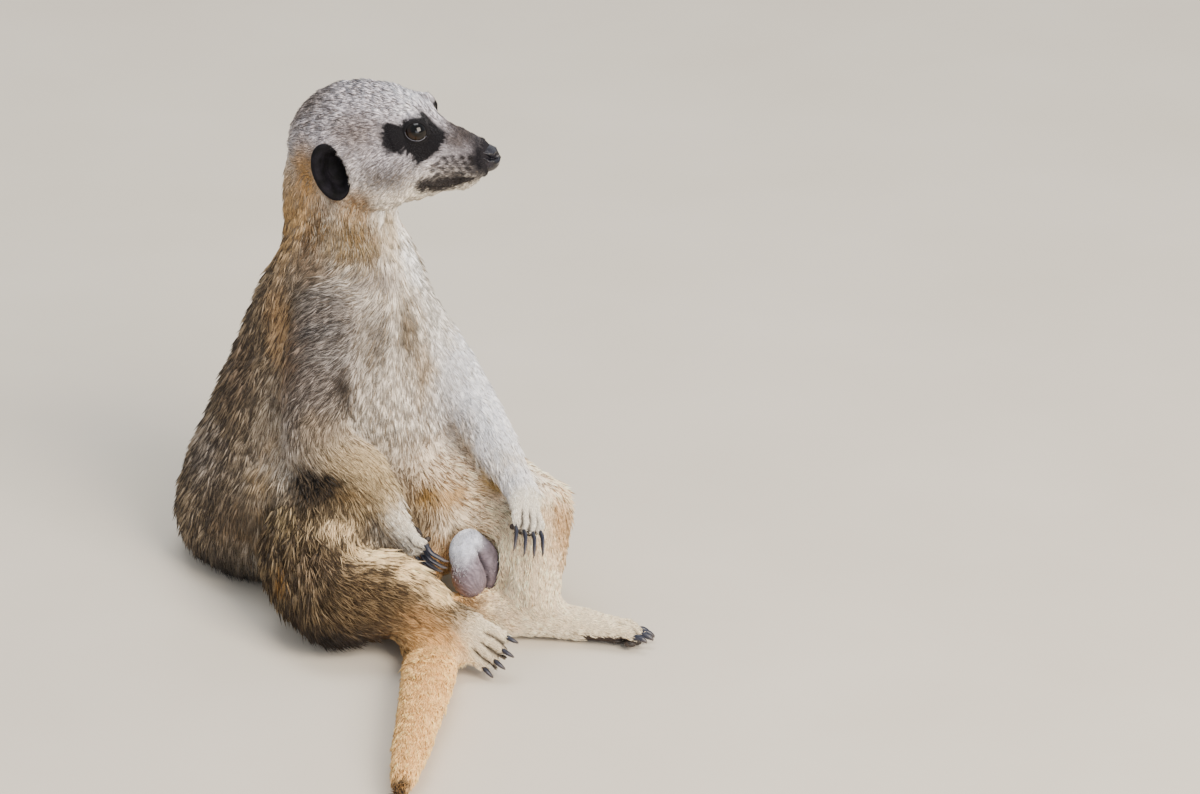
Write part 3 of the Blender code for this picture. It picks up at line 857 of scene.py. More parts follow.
BODY_PATCHES = (
    Patch((-8, 72, 158), (22, 24, 30), "#b5925f", 0.85, 0.7, 0.24),
    Patch((12, 58, 150), (24, 18, 13), "#93805f", 0.97, 0.7, 0.24),
    Patch((18, 56, 153), (16, 14, 3.5), "#74573a", 0.7, 0.8, 0.32),
    Patch((10, 56, 146), (17, 15, 2.2), "#584630", 0.75, 0.6, 0.4),
    Patch((7, 54, 140), (17, 15, 2.0), "#55473a", 0.65, 0.6, 0.44),
    Patch((12, 60, 164), (16, 12, 9), "#a98a5f", 0.85, 0.8, 0.2),
    # Painted shade in the crease between the side of the neck and the near shoulder.
    Patch((-6, 60, 146), (6, 16, 20), "#5e452c", 0.7, 0.9, 0.4),
    Patch((2, 58, 170), (4.6, 14, 10), "#5b452d", 0.85, 0.7, 0.3),
    Patch((-3, 60, 160), (5, 14, 10), "#5b452d", 0.85, 0.7, 0.34),
    Patch((-8, 63, 150), (5.2, 14, 10), "#5e4831", 0.8, 0.7, 0.36),
    Patch((26, 70, 153), (11, 13, 10), "#bdae95", 0.9, 0.7, 0.06),
    Patch((38, 76, 142), (15, 16, 22), "#fbfaf7", 1.0, 0.6, 0.0),
    Patch((44, 80, 120), (13, 22, 28), "#dedad3", 1.0, 0.6, 0.04),
    Patch((24, 56, 138), (16, 12, 9), "#9d9288", 0.85, 0.8, 0.24),
    Patch((-37, 80, 93), (24, 30, 30), "#8b7661", 0.85, 0.9, 0.58),
    Patch((-52, 82, 54), (22, 30, 20), "#b8ada4", 0.7, 0.9, 0.52),
    Patch((-14, 46, 106), (13, 18, 34), "#7d6247", 0.8, 0.9, 0.46),
    Patch((-20, 60, 118), (10, 17, 28), "#bd9b70", 0.88, 0.9, 0.3),
    Patch((-4, 58, 140), (16, 14, 8), "#7e6b57", 0.8, 0.8, 0.42),
    Patch((6, 46, 132), (18, 14, 8), "#8d8680", 0.85, 0.8, 0.36),
    Patch((2, 40, 121), (17, 14, 6), "#8c8885", 0.85, 0.8, 0.46),
    Patch((6, 36, 111), (14, 14, 8), "#a39d97", 0.8, 0.8, 0.32),
    # Painted shade: the dark notch of the armpit between the near arm and the belly.
    Patch((9, 37, 98), (6, 9, 11), "#241d18", 0.95, 0.8, 0.6),
    Patch((-6, 27, 86), (14, 12, 9), "#9d8d79", 0.8, 0.8, 0.26),
    Patch((32, 58, 116), (5.5, 14, 27), "#66573f", 0.9, 0.9, 0.3),
    Patch((21, 50, 114), (10, 12, 22), "#7b736a", 0.85, 0.8, 0.3),
    Patch((38, 60, 98), (6, 14, 22), "#a58d68", 0.7, 0.9, 0.14),
    Patch((14, 44, 76), (10, 10, 18), "#c5bdb1", 0.7, 0.8, 0.14),
    Patch((54, 58, 66), (8, 12, 18), "#c3aa80", 0.5, 0.9, 0.1),
    Patch((38, 42, 52), (8, 9, 5), "#83642e", 0.95, 0.7, 0.18),
    Patch((47, 44, 50), (8, 10, 5), "#b8935c", 0.8, 0.8, 0.12),
    Patch((64, 44, 53), (12, 12, 9), "#ab893f", 0.9, 0.8, 0.14),
    Patch((50, 36, 41), (13, 12, 8), "#e4d6bd", 0.9, 0.8, 0.03),
    Patch((25, 20, 50), (13, 12, 12), "#fffdf6", 1.0, 0.9, 0.02),
    Patch((6, 23, 60), (17, 11, 4.5), "#a07f4c", 0.9, 0.9, 0.2),
    # Painted shade: the dark cleft under the near forearm, from the elbow down to the wrist.
    Patch((-9, 29, 61), (23, 19, 8.5), "#150e08", 1.0, 0.55, 0.5),
    Patch((3, 22, 52), (13, 12, 5.5), "#2a1f15", 0.95, 0.8, 0.5),
    Patch((13, 16, 46), (8, 9, 4.5), "#3a2b1c", 0.9, 0.8, 0.4),
    Patch((-28, 44, 67), (15, 18, 10), "#a5824f", 0.9, 0.9, 0.26),
    Patch((-30, 48, 55), (14, 16, 8), "#b3966a", 0.8, 0.9, 0.34),
    Patch((-38, 52, 34), (26, 30, 26), "#5c4933", 0.9, 0.9, 0.56),
    Patch((-30, 40, 44), (20, 20, 6), "#8d7450", 0.7, 0.9, 0.4),
    Patch((-42, 50, 30), (22, 24, 5), "#80694b", 0.65, 0.9, 0.42),
    Patch((-18, 24, 50), (20, 18, 7), "#9a8662", 0.85, 0.9, 0.5),
    Patch((-22, 2, 33), (6, 8, 8), "#946a2c", 0.8, 0.8, 0.1),
    Patch((-4, 0, 37), (16, 16, 11), "#85705a", 0.8, 0.9, 0.48),
    Patch((4, 11, 50), (16, 12, 7), "#e2c9a0", 0.95, 0.8, 0.16),
    Patch((15, -1, 42), (14, 16, 7.5), "#f0d4a4", 1.0, 0.7, 0.1),
    Patch((29, -5, 38), (14, 17, 8), "#f2d5a4", 1.0, 0.6, 0.06),
    Patch((41, -11, 31), (13, 14, 8.5), "#f2d5a4", 1.0, 0.6, 0.04),
    Patch((34, -24, 23), (13, 11, 9), "#c39c6a", 0.85, 0.8, 0.2),
    # Painted shadow under the near thigh, knee and shank, where they meet the floor.
    Patch((-12, -12, 7), (44, 30, 19), "#0a0604", 1.0, 0.6, 0.6),
    Patch((26, -24, 7), (18, 14, 9), "#3f2b1a", 0.85, 0.9, 0.4),
    # Painted shadow under the rump and near thigh, over their dark brown coat.
    Patch((-44, 56, 5), (44, 50, 20), "#221912", 0.95, 0.7, 0.52),
    Patch((94, 34, 36), (11, 24, 26), "#c09660", 0.8, 0.9, 0.24),
    # Darker brown in the gap under the scrotum, by the far shank and near ankle: partly inner leg fur, partly
    # painted shade.
    Patch((56, 17, 9), (15, 12, 9), "#6a5136", 0.85, 0.8, 0.4),
    Patch((70, 42, 62), (12, 14, 12), "#ddcaa6", 0.7, 0.9, 0.08),
    Patch((72, 8, 9), (9, 9, 8), "#c0915f", 0.75, 0.9, 0.05),
    Patch((32, -152, 8), (16, 16, 16), "#1f1712", 1.0, 0.6, 0.3),
)

HEAD_PATCHES = (
    HeadPatch((-74, 0, 22), (20, 26, 18), "#8b7d75", 0.8, 0.9, 0.44),
    HeadPatch((-54, 22, 16), (18, 12, 14), "#87776b", 0.7, 0.95, 0.46),
    HeadPatch((-30, 0, 26), (18, 15, 10), "#e9e9f1", 0.95, 0.8, 0.2),
    HeadPatch((-32, 12, 22), (12, 7, 4), "#ebe9ee", 0.9, 0.8, 0.12),
    HeadPatch((-16, 0, 9), (15, 12, 8), "#423936", 0.95, 0.7, 0.16),
    HeadPatch((-21, 12, 4), (9, 6, 5), "#aba6aa", 0.8, 0.8, 0.2),
    HeadPatch((-40, 24, -1), (20, 14, 9), "#6c6a6c", 0.85, 0.9, 0.54),
    HeadPatch((-36, 14, -12), (18, 12, 6), "#e4dac9", 0.95, 0.8, 0.03),
    HeadPatch((-54, 24, -12), (12, 14, 10), "#98774f", 0.88, 0.9, 0.22),
    HeadPatch((-60, 22, -24), (14, 14, 13), "#8d744c", 0.85, 0.9, 0.24),
    HeadPatch((-76, 22, -2), (9, 14, 20), "#b98f54", 0.9, 0.8, 0.22),
    HeadPatch((-4.5, 0, 0.0), (13.5, 19, 14), "#161319", 1.0, 0.55, 0.0),
    HeadPatch((-18, 6, -7), (9, 9, 5), "#746867", 0.6, 0.8, 0.24),
    HeadPatch((-17, 6, 7), (8, 7, 5), "#5a514e", 0.75, 0.8, 0.16),
)

EYE_MASK = (
    *((-11.0, 3.9), (-6.7, 3.4), (-2.0, 5.2), (3.3, 6.2), (8.0, 4.2), (12.2, -0.9), (11.4, -4.6)),
    *((8.4, -8.2), (2.6, -11.2), (0.4, -7.6), (-4.4, -5.8), (-9.4, -4.7), (-10.8, -1.0)),
)
LIP_LINE = ((-3.9, -7.6), (-8.3, -8.6), (-13.3, -10.0), (-19.3, -10.9), (-24.3, -10.2), (-28.1, -8.6))
LIP_BAND = ((-9.7, -7.4), (-14.3, -8.7), (-19.3, -9.6), (-23.8, -9.1), (-27.0, -8.2))
EYE_SEAT = (-31.9, 14.2, 14.3)


def reach_to_line(across: Array, up: Array, line: tuple) -> Array:
    """Least distance in the side view from each point to a line of joined straight runs.

    Args:
        across: first coordinates.
        up: second coordinates.
        line: the line's corners.

    Returns:
        One distance for each point.
    """
    best = np.full(len(across), FAR_OFF)
    for (ax, ay), (bx, by) in zip(line[:-1], line[1:]):
        run = np.array((bx - ax, by - ay))
        share = np.clip(((across - ax) * run[0] + (up - ay) * run[1]) / (run @ run), 0, 1)
        best = np.minimum(best, np.hypot(across - ax - share * run[0], up - ay - share * run[1]))
    return best


def within(across: Array, up: Array, outline: tuple) -> Array:
    """Distance to a closed outline in the side view, taken as less than zero inside it.

    Args:
        across: first coordinates.
        up: second coordinates.
        outline: the outline's corners.

    Returns:
        One distance for each point.
    """
    closed = (*outline, outline[0])
    inside = np.zeros(len(across), dtype=bool)
    for (ax, ay), (bx, by) in zip(closed[:-1], closed[1:]):
        if ay != by:
            crosses = (ay > up) != (by > up)
            inside ^= crosses & (across < (bx - ax) * (up - ay) / (by - ay) + ax)
    return np.where(inside, -1.0, 1.0) * reach_to_line(across, up, closed)


@dataclass(frozen=True)
class Colouring:
    """Colour and ticking anywhere on the animal, for skin and coat alike, with painted shade in folds and under
    it.
    """

    ragged: Ripple = Ripple(5.0, 11)
    fine: Ripple = Ripple(1.6, 12)

    def lay(self, points: Array, rows: Array) -> None:
        """Lays patches, bands, the dark mask round each eye, the lips and the whisker rows over the raw rows.

        Args:
            points: places on the body.
            rows: coat rows, changed in place.
        """
        waver = self.ragged.at(points) + 0.5 * self.fine.at(points)
        for patch in (*BODY_PATCHES, *HEAD_PATCHES):
            share = patch.weight(points, waver)
            rows[:, GROUND] = mixed(rows[:, GROUND], linear(patch.colour), share)
            if patch.ticking is not None:
                rows[:, TICKING] += (patch.ticking - rows[:, TICKING]) * share
        self.bands(points, rows, waver)
        ahead, left, high = to_head(points).T
        wide, far_side = np.abs(left), left > 0
        near = (ahead > -60) & (ahead < 4) & (wide < 40) & (np.abs(high) < 40)
        brow = high - EYE_SEAT[2]
        mask = within(ahead - EYE_SEAT[0], brow, EYE_MASK) + 0.5 * self.fine.at(points)
        mask = np.maximum(mask, brow - np.where(far_side, 1.6, 5.2))
        share = near * ease((wide - np.where(far_side, 7.0, 4.2)) / 3.0) * ease((2.9 - mask) / 2.2)
        self.recolour(rows, share, "#0d0b11")
        rows[:, LENGTH] *= 1 - 0.6 * share
        lips = reach_to_line(ahead, high, LIP_BAND) + 0.7 * self.fine.at(points)
        broad = 3.3 + 2.3 * ease((-10.0 - ahead) / 9.0)
        self.recolour(rows, near * (high < -3) * ease((broad - lips) / 3.0) * 0.97, "#130a0c")
        dots = np.full(len(points), BEYOND)
        for place in whisker_roots():
            dots = np.minimum(dots, np.hypot(ahead - place[0], high - place[1]))
        self.recolour(rows, near * (wide > 3) * ease((1.4 - dots) / 0.7) * 0.95, "#1b1516")

    def bands(self, points: Array, rows: Array, waver: Array) -> None:
        """Lays the species' broken dark bands across the lower back and out to the flanks.

        Args:
            points: places in millimetres, one row each.
            rows: coat rows, changed in place.
            waver: a raggedness for each point.
        """
        local = (points - spot(-10, 66, 80)) @ TRUNK_AXES.T
        back = ease((-local[:, 0] - 10) / 16) * ease((38 - local[:, 2]) / 24) * ease((local[:, 2] + 84) / 16)
        stripe = ease((np.sin(2 * math.pi * local[:, 2] / 10.5 + 0.9 * waver) + 0.1) / 0.9)
        share = 0.5 * back * stripe * np.clip(1 + 0.6 * waver, 0.3, 1.4)
        rows[:, GROUND] = mixed(rows[:, GROUND], linear("#2c211a"), np.clip(share, 0, 0.85))

    def recolour(self, rows: Array, share: Array, code: str) -> None:
        """Turns ground and guard hair towards one colour by a share, and takes the ticking out.

        Args:
            rows: coat rows, changed in place.
            share: how far each one turns.
            code: the colour.
        """
        colour = linear(code)
        rows[:, GROUND] = mixed(rows[:, GROUND], colour, share)
        rows[:, GUARD] = mixed(rows[:, GUARD], colour * 0.6, share)
        rows[:, TICKING] *= 1 - share


def whisker_roots() -> list[tuple[float, float]]:
    """Where whiskers stand on each muzzle side, forward and up from the nose tip, in four staggered rows.

    Returns:
        Pairs of places.
    """
    found = []
    for row, (start, count) in enumerate(((-10.5, 4), (-9.5, 5), (-11.0, 5), (-12.5, 4))):
        for step in range(count):
            found.append((start - 3.1 * step, 1.6 - 2.2 * row + 0.25 * step))
    return found


# ---- eyes ----
@dataclass(frozen=True)
class Eye:
    """One eye: where it sits, which way it looks, and the opening its lids leave."""

    side: Side
    radius: float = 5.2
    look: Place = (0.29, 0.85, 0.44)
    iris_edge: float = 0.95

    def middle(self) -> Array:
        """The ball's middle."""
        return in_head(EYE_SEAT[0], EYE_SEAT[1] * self.side.value, EYE_SEAT[2])

    def axes(self) -> Array:
        """Rows: towards the nose, up, and out along the eye's own axis.

        Returns:
            Three unit rows.
        """
        forward, left, up = self.look
        out = unit(np.array((forward, left * self.side.value, up)) @ HEAD_AXES)
        ahead = unit(HEAD_AXES[0] - HEAD_AXES[0] @ out * out)
        high = unit(UP - UP @ out * out - UP @ ahead * ahead)
        return np.stack((ahead, high, out))

    def flat(self, points: Array) -> tuple[Array, Array, Array]:
        """Arc lengths on the ball towards the nose and up from its axis, and distance from its middle.

        Args:
            points: places in millimetres, one row each.

        Returns:
            Three numbers for each point.
        """
        away = points - self.middle()
        far = np.linalg.norm(away, axis=1)
        local = away @ self.axes().T
        flat = np.hypot(local[:, 0], local[:, 1])
        arc = self.radius * np.arctan2(flat, local[:, 2]) / np.maximum(flat, 1e-6)
        return local[:, 0] * arc, local[:, 1] * arc, far

    def opening(self, points: Array) -> tuple[Array, Array]:
        """Distance outside the lids' opening, and distance from the ball's middle.

        The opening is an almond with a narrow notch down towards the nose at its inner corner.

        Args:
            points: places in millimetres, one row each.

        Returns:
            Two numbers for each point.
        """
        across, up, far = self.flat(points)
        tall = np.where(up + 0.9 > 0, 3.7, 3.8)
        almond = (np.hypot((across + 0.5) / 4.9, (up + 0.9) / tall) - 1.0) * 4.2
        share = np.clip(((across - 3.6) * 3.2 + (up + 2.2) * -1.2) / (3.2**2 + 1.2**2), 0, 1)
        notch = np.hypot(across - 3.6 - share * 3.2, up + 2.2 + share * 1.2) - (0.8 - 0.5 * share)
        return np.minimum(almond, notch), far

    def build(self) -> list[bpy.types.Object]:
        """The ball with its bulging cornea, and the wet rim along the lower lid."""
        return [self.ball(), self.rim()]

    def ball(self) -> bpy.types.Object:
        """The eyeball: a ball whose pole, the eye's axis, bulges as the cornea does.

        Each corner stores a disc: its angle from the axis, its turn round it, and how low it lies.

        Returns:
            The eyeball.
        """
        rings, around = 44, 64
        polar, turn = ball_angles(rings, around)
        size = self.radius - 0.1 + 0.42 * ease((0.72 - polar) / 0.5) + 0 * turn
        faces = grid_faces(rings, around)
        if np.linalg.det(self.axes()) < 0:
            faces = faces[:, ::-1]
        points = self.middle() + ball_ways(rings, around) * size.reshape(-1, 1) @ self.axes()
        cornea = EyeGlass("eye_cornea_over_iris", 0.4, 0.0)
        ball = make_piece(f"eyeball_{self.side.word}", points, faces, "eye_surface", cornea)
        disc = np.stack((polar / self.iris_edge + 0 * turn, turn / (2 * math.pi) + 0 * polar), -1)
        # Low and far back on the ball, where the iris's painted glow sits; the upper front stays in painted
        # shade.
        low = (0.5 - 0.3 * np.cos(turn) - 0.4 * np.sin(turn) + 0 * polar).reshape(-1, 1)
        paint(ball, "disc", np.hstack((np.clip(disc.reshape(-1, 2), 0, 1), low)))
        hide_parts(f"eye_{self.side.word}")
        return ball

    def rim(self) -> bpy.types.Object:
        """The wet rim, painted pale as a highlight: a thin tube along the lower lid's arc and on into the inner
        corner.

        Returns:
            The rim.
        """
        turn = np.linspace(math.radians(180), math.radians(338), 40)
        across, up = 4.95 * np.cos(turn) - 0.5, 3.85 * np.sin(turn) - 0.9
        across = np.concatenate((across, np.linspace(across[-1] + 0.3, 6.8, 8)))
        up = np.concatenate((up, np.linspace(up[-1] - 0.1, -3.4, 8)))
        angle = np.hypot(across, up) / self.radius
        heading = np.stack((across, up), -1) / np.hypot(across, up)[:, None]
        local = np.hstack((heading * np.sin(angle)[:, None], np.cos(angle)[:, None])) * (self.radius + 0.2)
        path = self.middle() + local @ self.axes()
        thick = 0.10 * np.sin(np.linspace(0.0, math.pi, len(path))) ** 0.4 + 0.001
        points, faces = tube(path, thick, thick * 0.8, self.axes()[2], 8)
        # An eyelid's wet edge: skin that shines under a film of tears; its pale grey-pink is partly a painted
        # highlight.
        wet = Mottled("wet_eyelid_edge_painted_highlight", 0.3, 0.5, "#3d3e48", "#6c6e79", 0.9, 2.0, 0.8)
        return make_piece(f"lid_rim_{self.side.word}", points, faces, "dark_skin", wet)


def weld(made: bpy.types.Object) -> bpy.types.Object:
    """Closes poles and seams by merging corners that coincide, then points every face outwards.

    Args:
        made: the object.

    Returns:
        The same object.
    """
    shape = bmesh.new()
    shape.from_mesh(made.data)
    bmesh.ops.remove_doubles(shape, verts=shape.verts, dist=SAME_CORNER)
    bmesh.ops.recalc_face_normals(shape, faces=shape.faces)
    shape.to_mesh(made.data)
    shape.free()
    made.data.update()
    return made


# ---- the ears ----
@dataclass(frozen=True)
class Ear:
    """A small crescent ear: a thick dark helix at the back, a deep hollow in front with a ridge inside it."""

    side: Side
    seat: Place = (-64.6, 25.8, 0.4)
    half: tuple[float, float] = (6.9, 12.0)

    def axes(self) -> Array:
        """Rows: forward, outward and up along the ear, leaning back at the top and turned out at the rear.

        Returns:
            Three unit rows.
        """
        lean, open_out = math.radians(20), math.radians(14)
        turned = -self.side.value * math.sin(open_out)
        forward = np.array((math.cos(open_out) * math.cos(lean), turned, math.sin(lean)))
        up = np.array((-math.sin(lean), 0.0, math.cos(lean)))
        up = unit(up - up @ forward * forward)
        outward = np.cross(up, forward) * self.side.value
        return np.stack((forward, outward, up)) @ HEAD_AXES

    def local(self, points: Array) -> Array:
        """Points in the ear's own axes, from its middle."""
        return (points - self.middle()) @ self.axes().T

    def oval(self, placed: Array) -> Array:
        """How far out points in the ear's own axes lie, where one is its rim."""
        return np.hypot(placed[:, 0] / self.half[0], placed[:, 2] / self.half[1])

    def middle(self) -> Array:
        """The ear's middle, on the side of the head."""
        return in_head(self.seat[0], self.seat[1] * self.side.value, self.seat[2])

    def build(self) -> bpy.types.Object:
        """A closed cup: its section runs from inside the head over the rim and down into the hollow.

        Each ring is the ear's oval scaled by a share; the rim stands highest at the rear and folds low in
        front, and the hollow's rings slide forward, so that the band of rim is broad behind and thin ahead.

        Returns:
            The ear.
        """
        stops = np.array((0.0, 0.12, 0.3, 0.45, 0.55, 0.62, 0.70, 0.78, 0.86, 0.94, 1.0))
        share = np.array((0.0, 0.80, 0.97, 1.02, 0.99, 0.92, 0.80, 0.68, 0.52, 0.28, 0.0))
        stand = np.array((-4.0, -3.6, -1.2, 1.2, 2.7, 3.2, 2.7, 0.6, -2.4, -3.8, -4.0))
        rings, around = 46, 72
        run = np.linspace(0, 1, rings)[:, None]
        turn = np.linspace(0, 2 * math.pi, around, endpoint=False)[None]
        size = np.interp(run, stops, share)
        height = np.interp(run, stops, stand)
        rear = 0.5 - 0.5 * np.cos(turn - 0.25)
        inward = ease((run - 0.5) / 0.3)
        height = height * (1 - 0.62 * (1 - rear) * ease((run - 0.2) / 0.3) * (height > 0))
        ridge = 0.7 * np.exp(-(((run - 0.80) / 0.035) ** 2)) * np.exp(-(((turn - math.pi * 0.95) / 0.9) ** 2))
        across = size * self.half[0] * np.cos(turn) + 1.9 * inward * (1 - 0.6 * ease((run - 0.9) / 0.1))
        up = size * self.half[1] * np.sin(turn) - 0.5 * inward
        out = height + ridge
        local = np.stack((across, out + 0 * turn, up), -1).reshape(-1, 3)
        points = self.middle() + local @ self.axes()
        dark = BareSkin("ear_skin_dark", 0.75, 0.12, "#030304", "#17151c", 0.45, 0.05, 0.0)
        ear = make_piece(f"ear_cup_{self.side.word}", points, grid_faces(rings, around), "dark_skin", dark)
        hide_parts(f"ear_{self.side.word}")
        return weld(ear)


# ---- the nose and whiskers ----
@dataclass(frozen=True)
class Nose:
    """The blue-black nose pad: rounded in front, with comma nostrils and a groove down to the lip."""

    seat: Place = (-5.2, 0.0, -0.6)
    half: Place = (5.4, 5.6, 5.9)

    def egg(self, local: Array) -> Array:
        """How far out points in the head's axes lie, where one is the pad's surface."""
        return np.linalg.norm((local - np.array(self.seat)) / np.array(self.half), axis=1)

    def build(self) -> bpy.types.Object:
        """A boxy egg whose surface sinks along each nostril's comma and down the middle groove.

        Returns:
            The nose pad.
        """
        rings, around = 90, 120
        way = np.roll(ball_ways(rings, around), 1, axis=1)
        boxy = (np.abs(way) ** 2.9).sum(1) ** (-1 / 2.9)
        local = way * boxy[:, None] * np.array(self.half)
        local[:, 2] -= 0.36 * np.maximum(local[:, 0] + 2.5, 0) * ease((local[:, 2] + 1.0) / 5.0)
        local[:, 0] -= 0.30 * np.maximum(-local[:, 2] - 3.0, 0) * (local[:, 0] > 0)
        local[:, 1] *= 1 - 0.22 * ease((-local[:, 2] - 1.0) / 4.0)
        comma = ((4.6, 2.0, 1.1), (3.9, 3.5, 0.8), (2.0, 5.0, 1.3), (-0.4, 5.6, 2.4))
        best = np.full(len(local), FAR_OFF)
        mirror = local * np.array((1, 0, 1)) + np.abs(local) * np.array((0, 1, 0))
        for (start, end), broad in zip(zip(comma[:-1], comma[1:]), (1.0, 1.3, 1.9)):
            run, away = np.array(end) - np.array(start), mirror - np.array(start)
            share = np.clip(away @ run / (run @ run), 0, 1)
            best = np.minimum(best, np.linalg.norm(away - share[:, None] * run, axis=1) * broad)
        sunk = 2.4 * np.exp(-((best / 1.15) ** 2))
        lip = 0.45 * np.exp(-(((best - 1.9) / 0.6) ** 2))
        groove = 0.7 * np.exp(-((local[:, 1] / 0.45) ** 2)) * ease((1.5 - local[:, 2]) / 3)
        local = local - way * (sunk + groove * (local[:, 0] > 0) - lip)[:, None]
        points = in_head(*self.seat) + local @ HEAD_AXES
        wet = BareSkin("nose_leather_wet", 0.28, 0.3, "#0e0e15", "#282631", 0.5, 0.10, 0.25)
        pad = make_piece("nose_pad", points, grid_faces(rings, around), "dark_skin", wet)
        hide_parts("nose")
        return weld(pad)


@dataclass(frozen=True)
class Whiskers:
    """Stiff dark whiskers that lie back along the muzzle, one from each spot in the rows."""

    thick: float = 0.11
    seed: int = 5

    def build(self, hide: "Hide") -> bpy.types.Object:
        """Thin cones along an arc that starts outwards and bends back; the rear ones are longest.

        Args:
            hide: the skin in which they root.

        Returns:
            All whiskers as one object.
        """
        rng = np.random.default_rng(self.seed)
        parts = []
        share = np.linspace(0, 1, 7)[:, None]
        for side in Side:
            for forward, up in whisker_roots():
                root = hide.surface_at(forward, up, side)
                long = 6.0 + 0.42 * (-forward - 9) + rng.uniform(-1, 1.5)
                out = np.array((-0.5, 0.75 * side.value, rng.uniform(-0.35, 0.05))) @ HEAD_AXES
                back = np.array((-1.0, 0.12 * side.value, rng.uniform(-0.5, 0.0))) @ HEAD_AXES
                path = root + out * long * (share - 0.45 * share**2) + back * long * 0.75 * share**1.6
                wide = self.thick * (1 - share[:, 0] * 0.9)
                wide[0] = wide[-1] = 0.0005
                parts.append(tube(path, wide, wide, UP, 5))
        points, faces = joined(parts)
        made = make_piece("whiskers", points, faces, "dark_skin", Fur("whisker_hair", 0.35, 0.5))
        paint(made, "tone", np.tile(linear("#2a2422"), (len(points), 1)))
        return weld(made)


# ---- the paws' fine parts ----
@dataclass(frozen=True)
class Toes:
    """How the toes of one kind of paw lie: spread, fan, length, width, and its claws' length and droop."""

    spread: float
    fan: float
    length: float
    radius: float
    claw: float
    droop: float


FORE_TOES = Toes(4.8, 5.0, 8.5, 2.5, 10.4, 3.2)
HIND_TOES = Toes(6.0, 10.0, 10.0, 3.1, 4.7, 1.8)


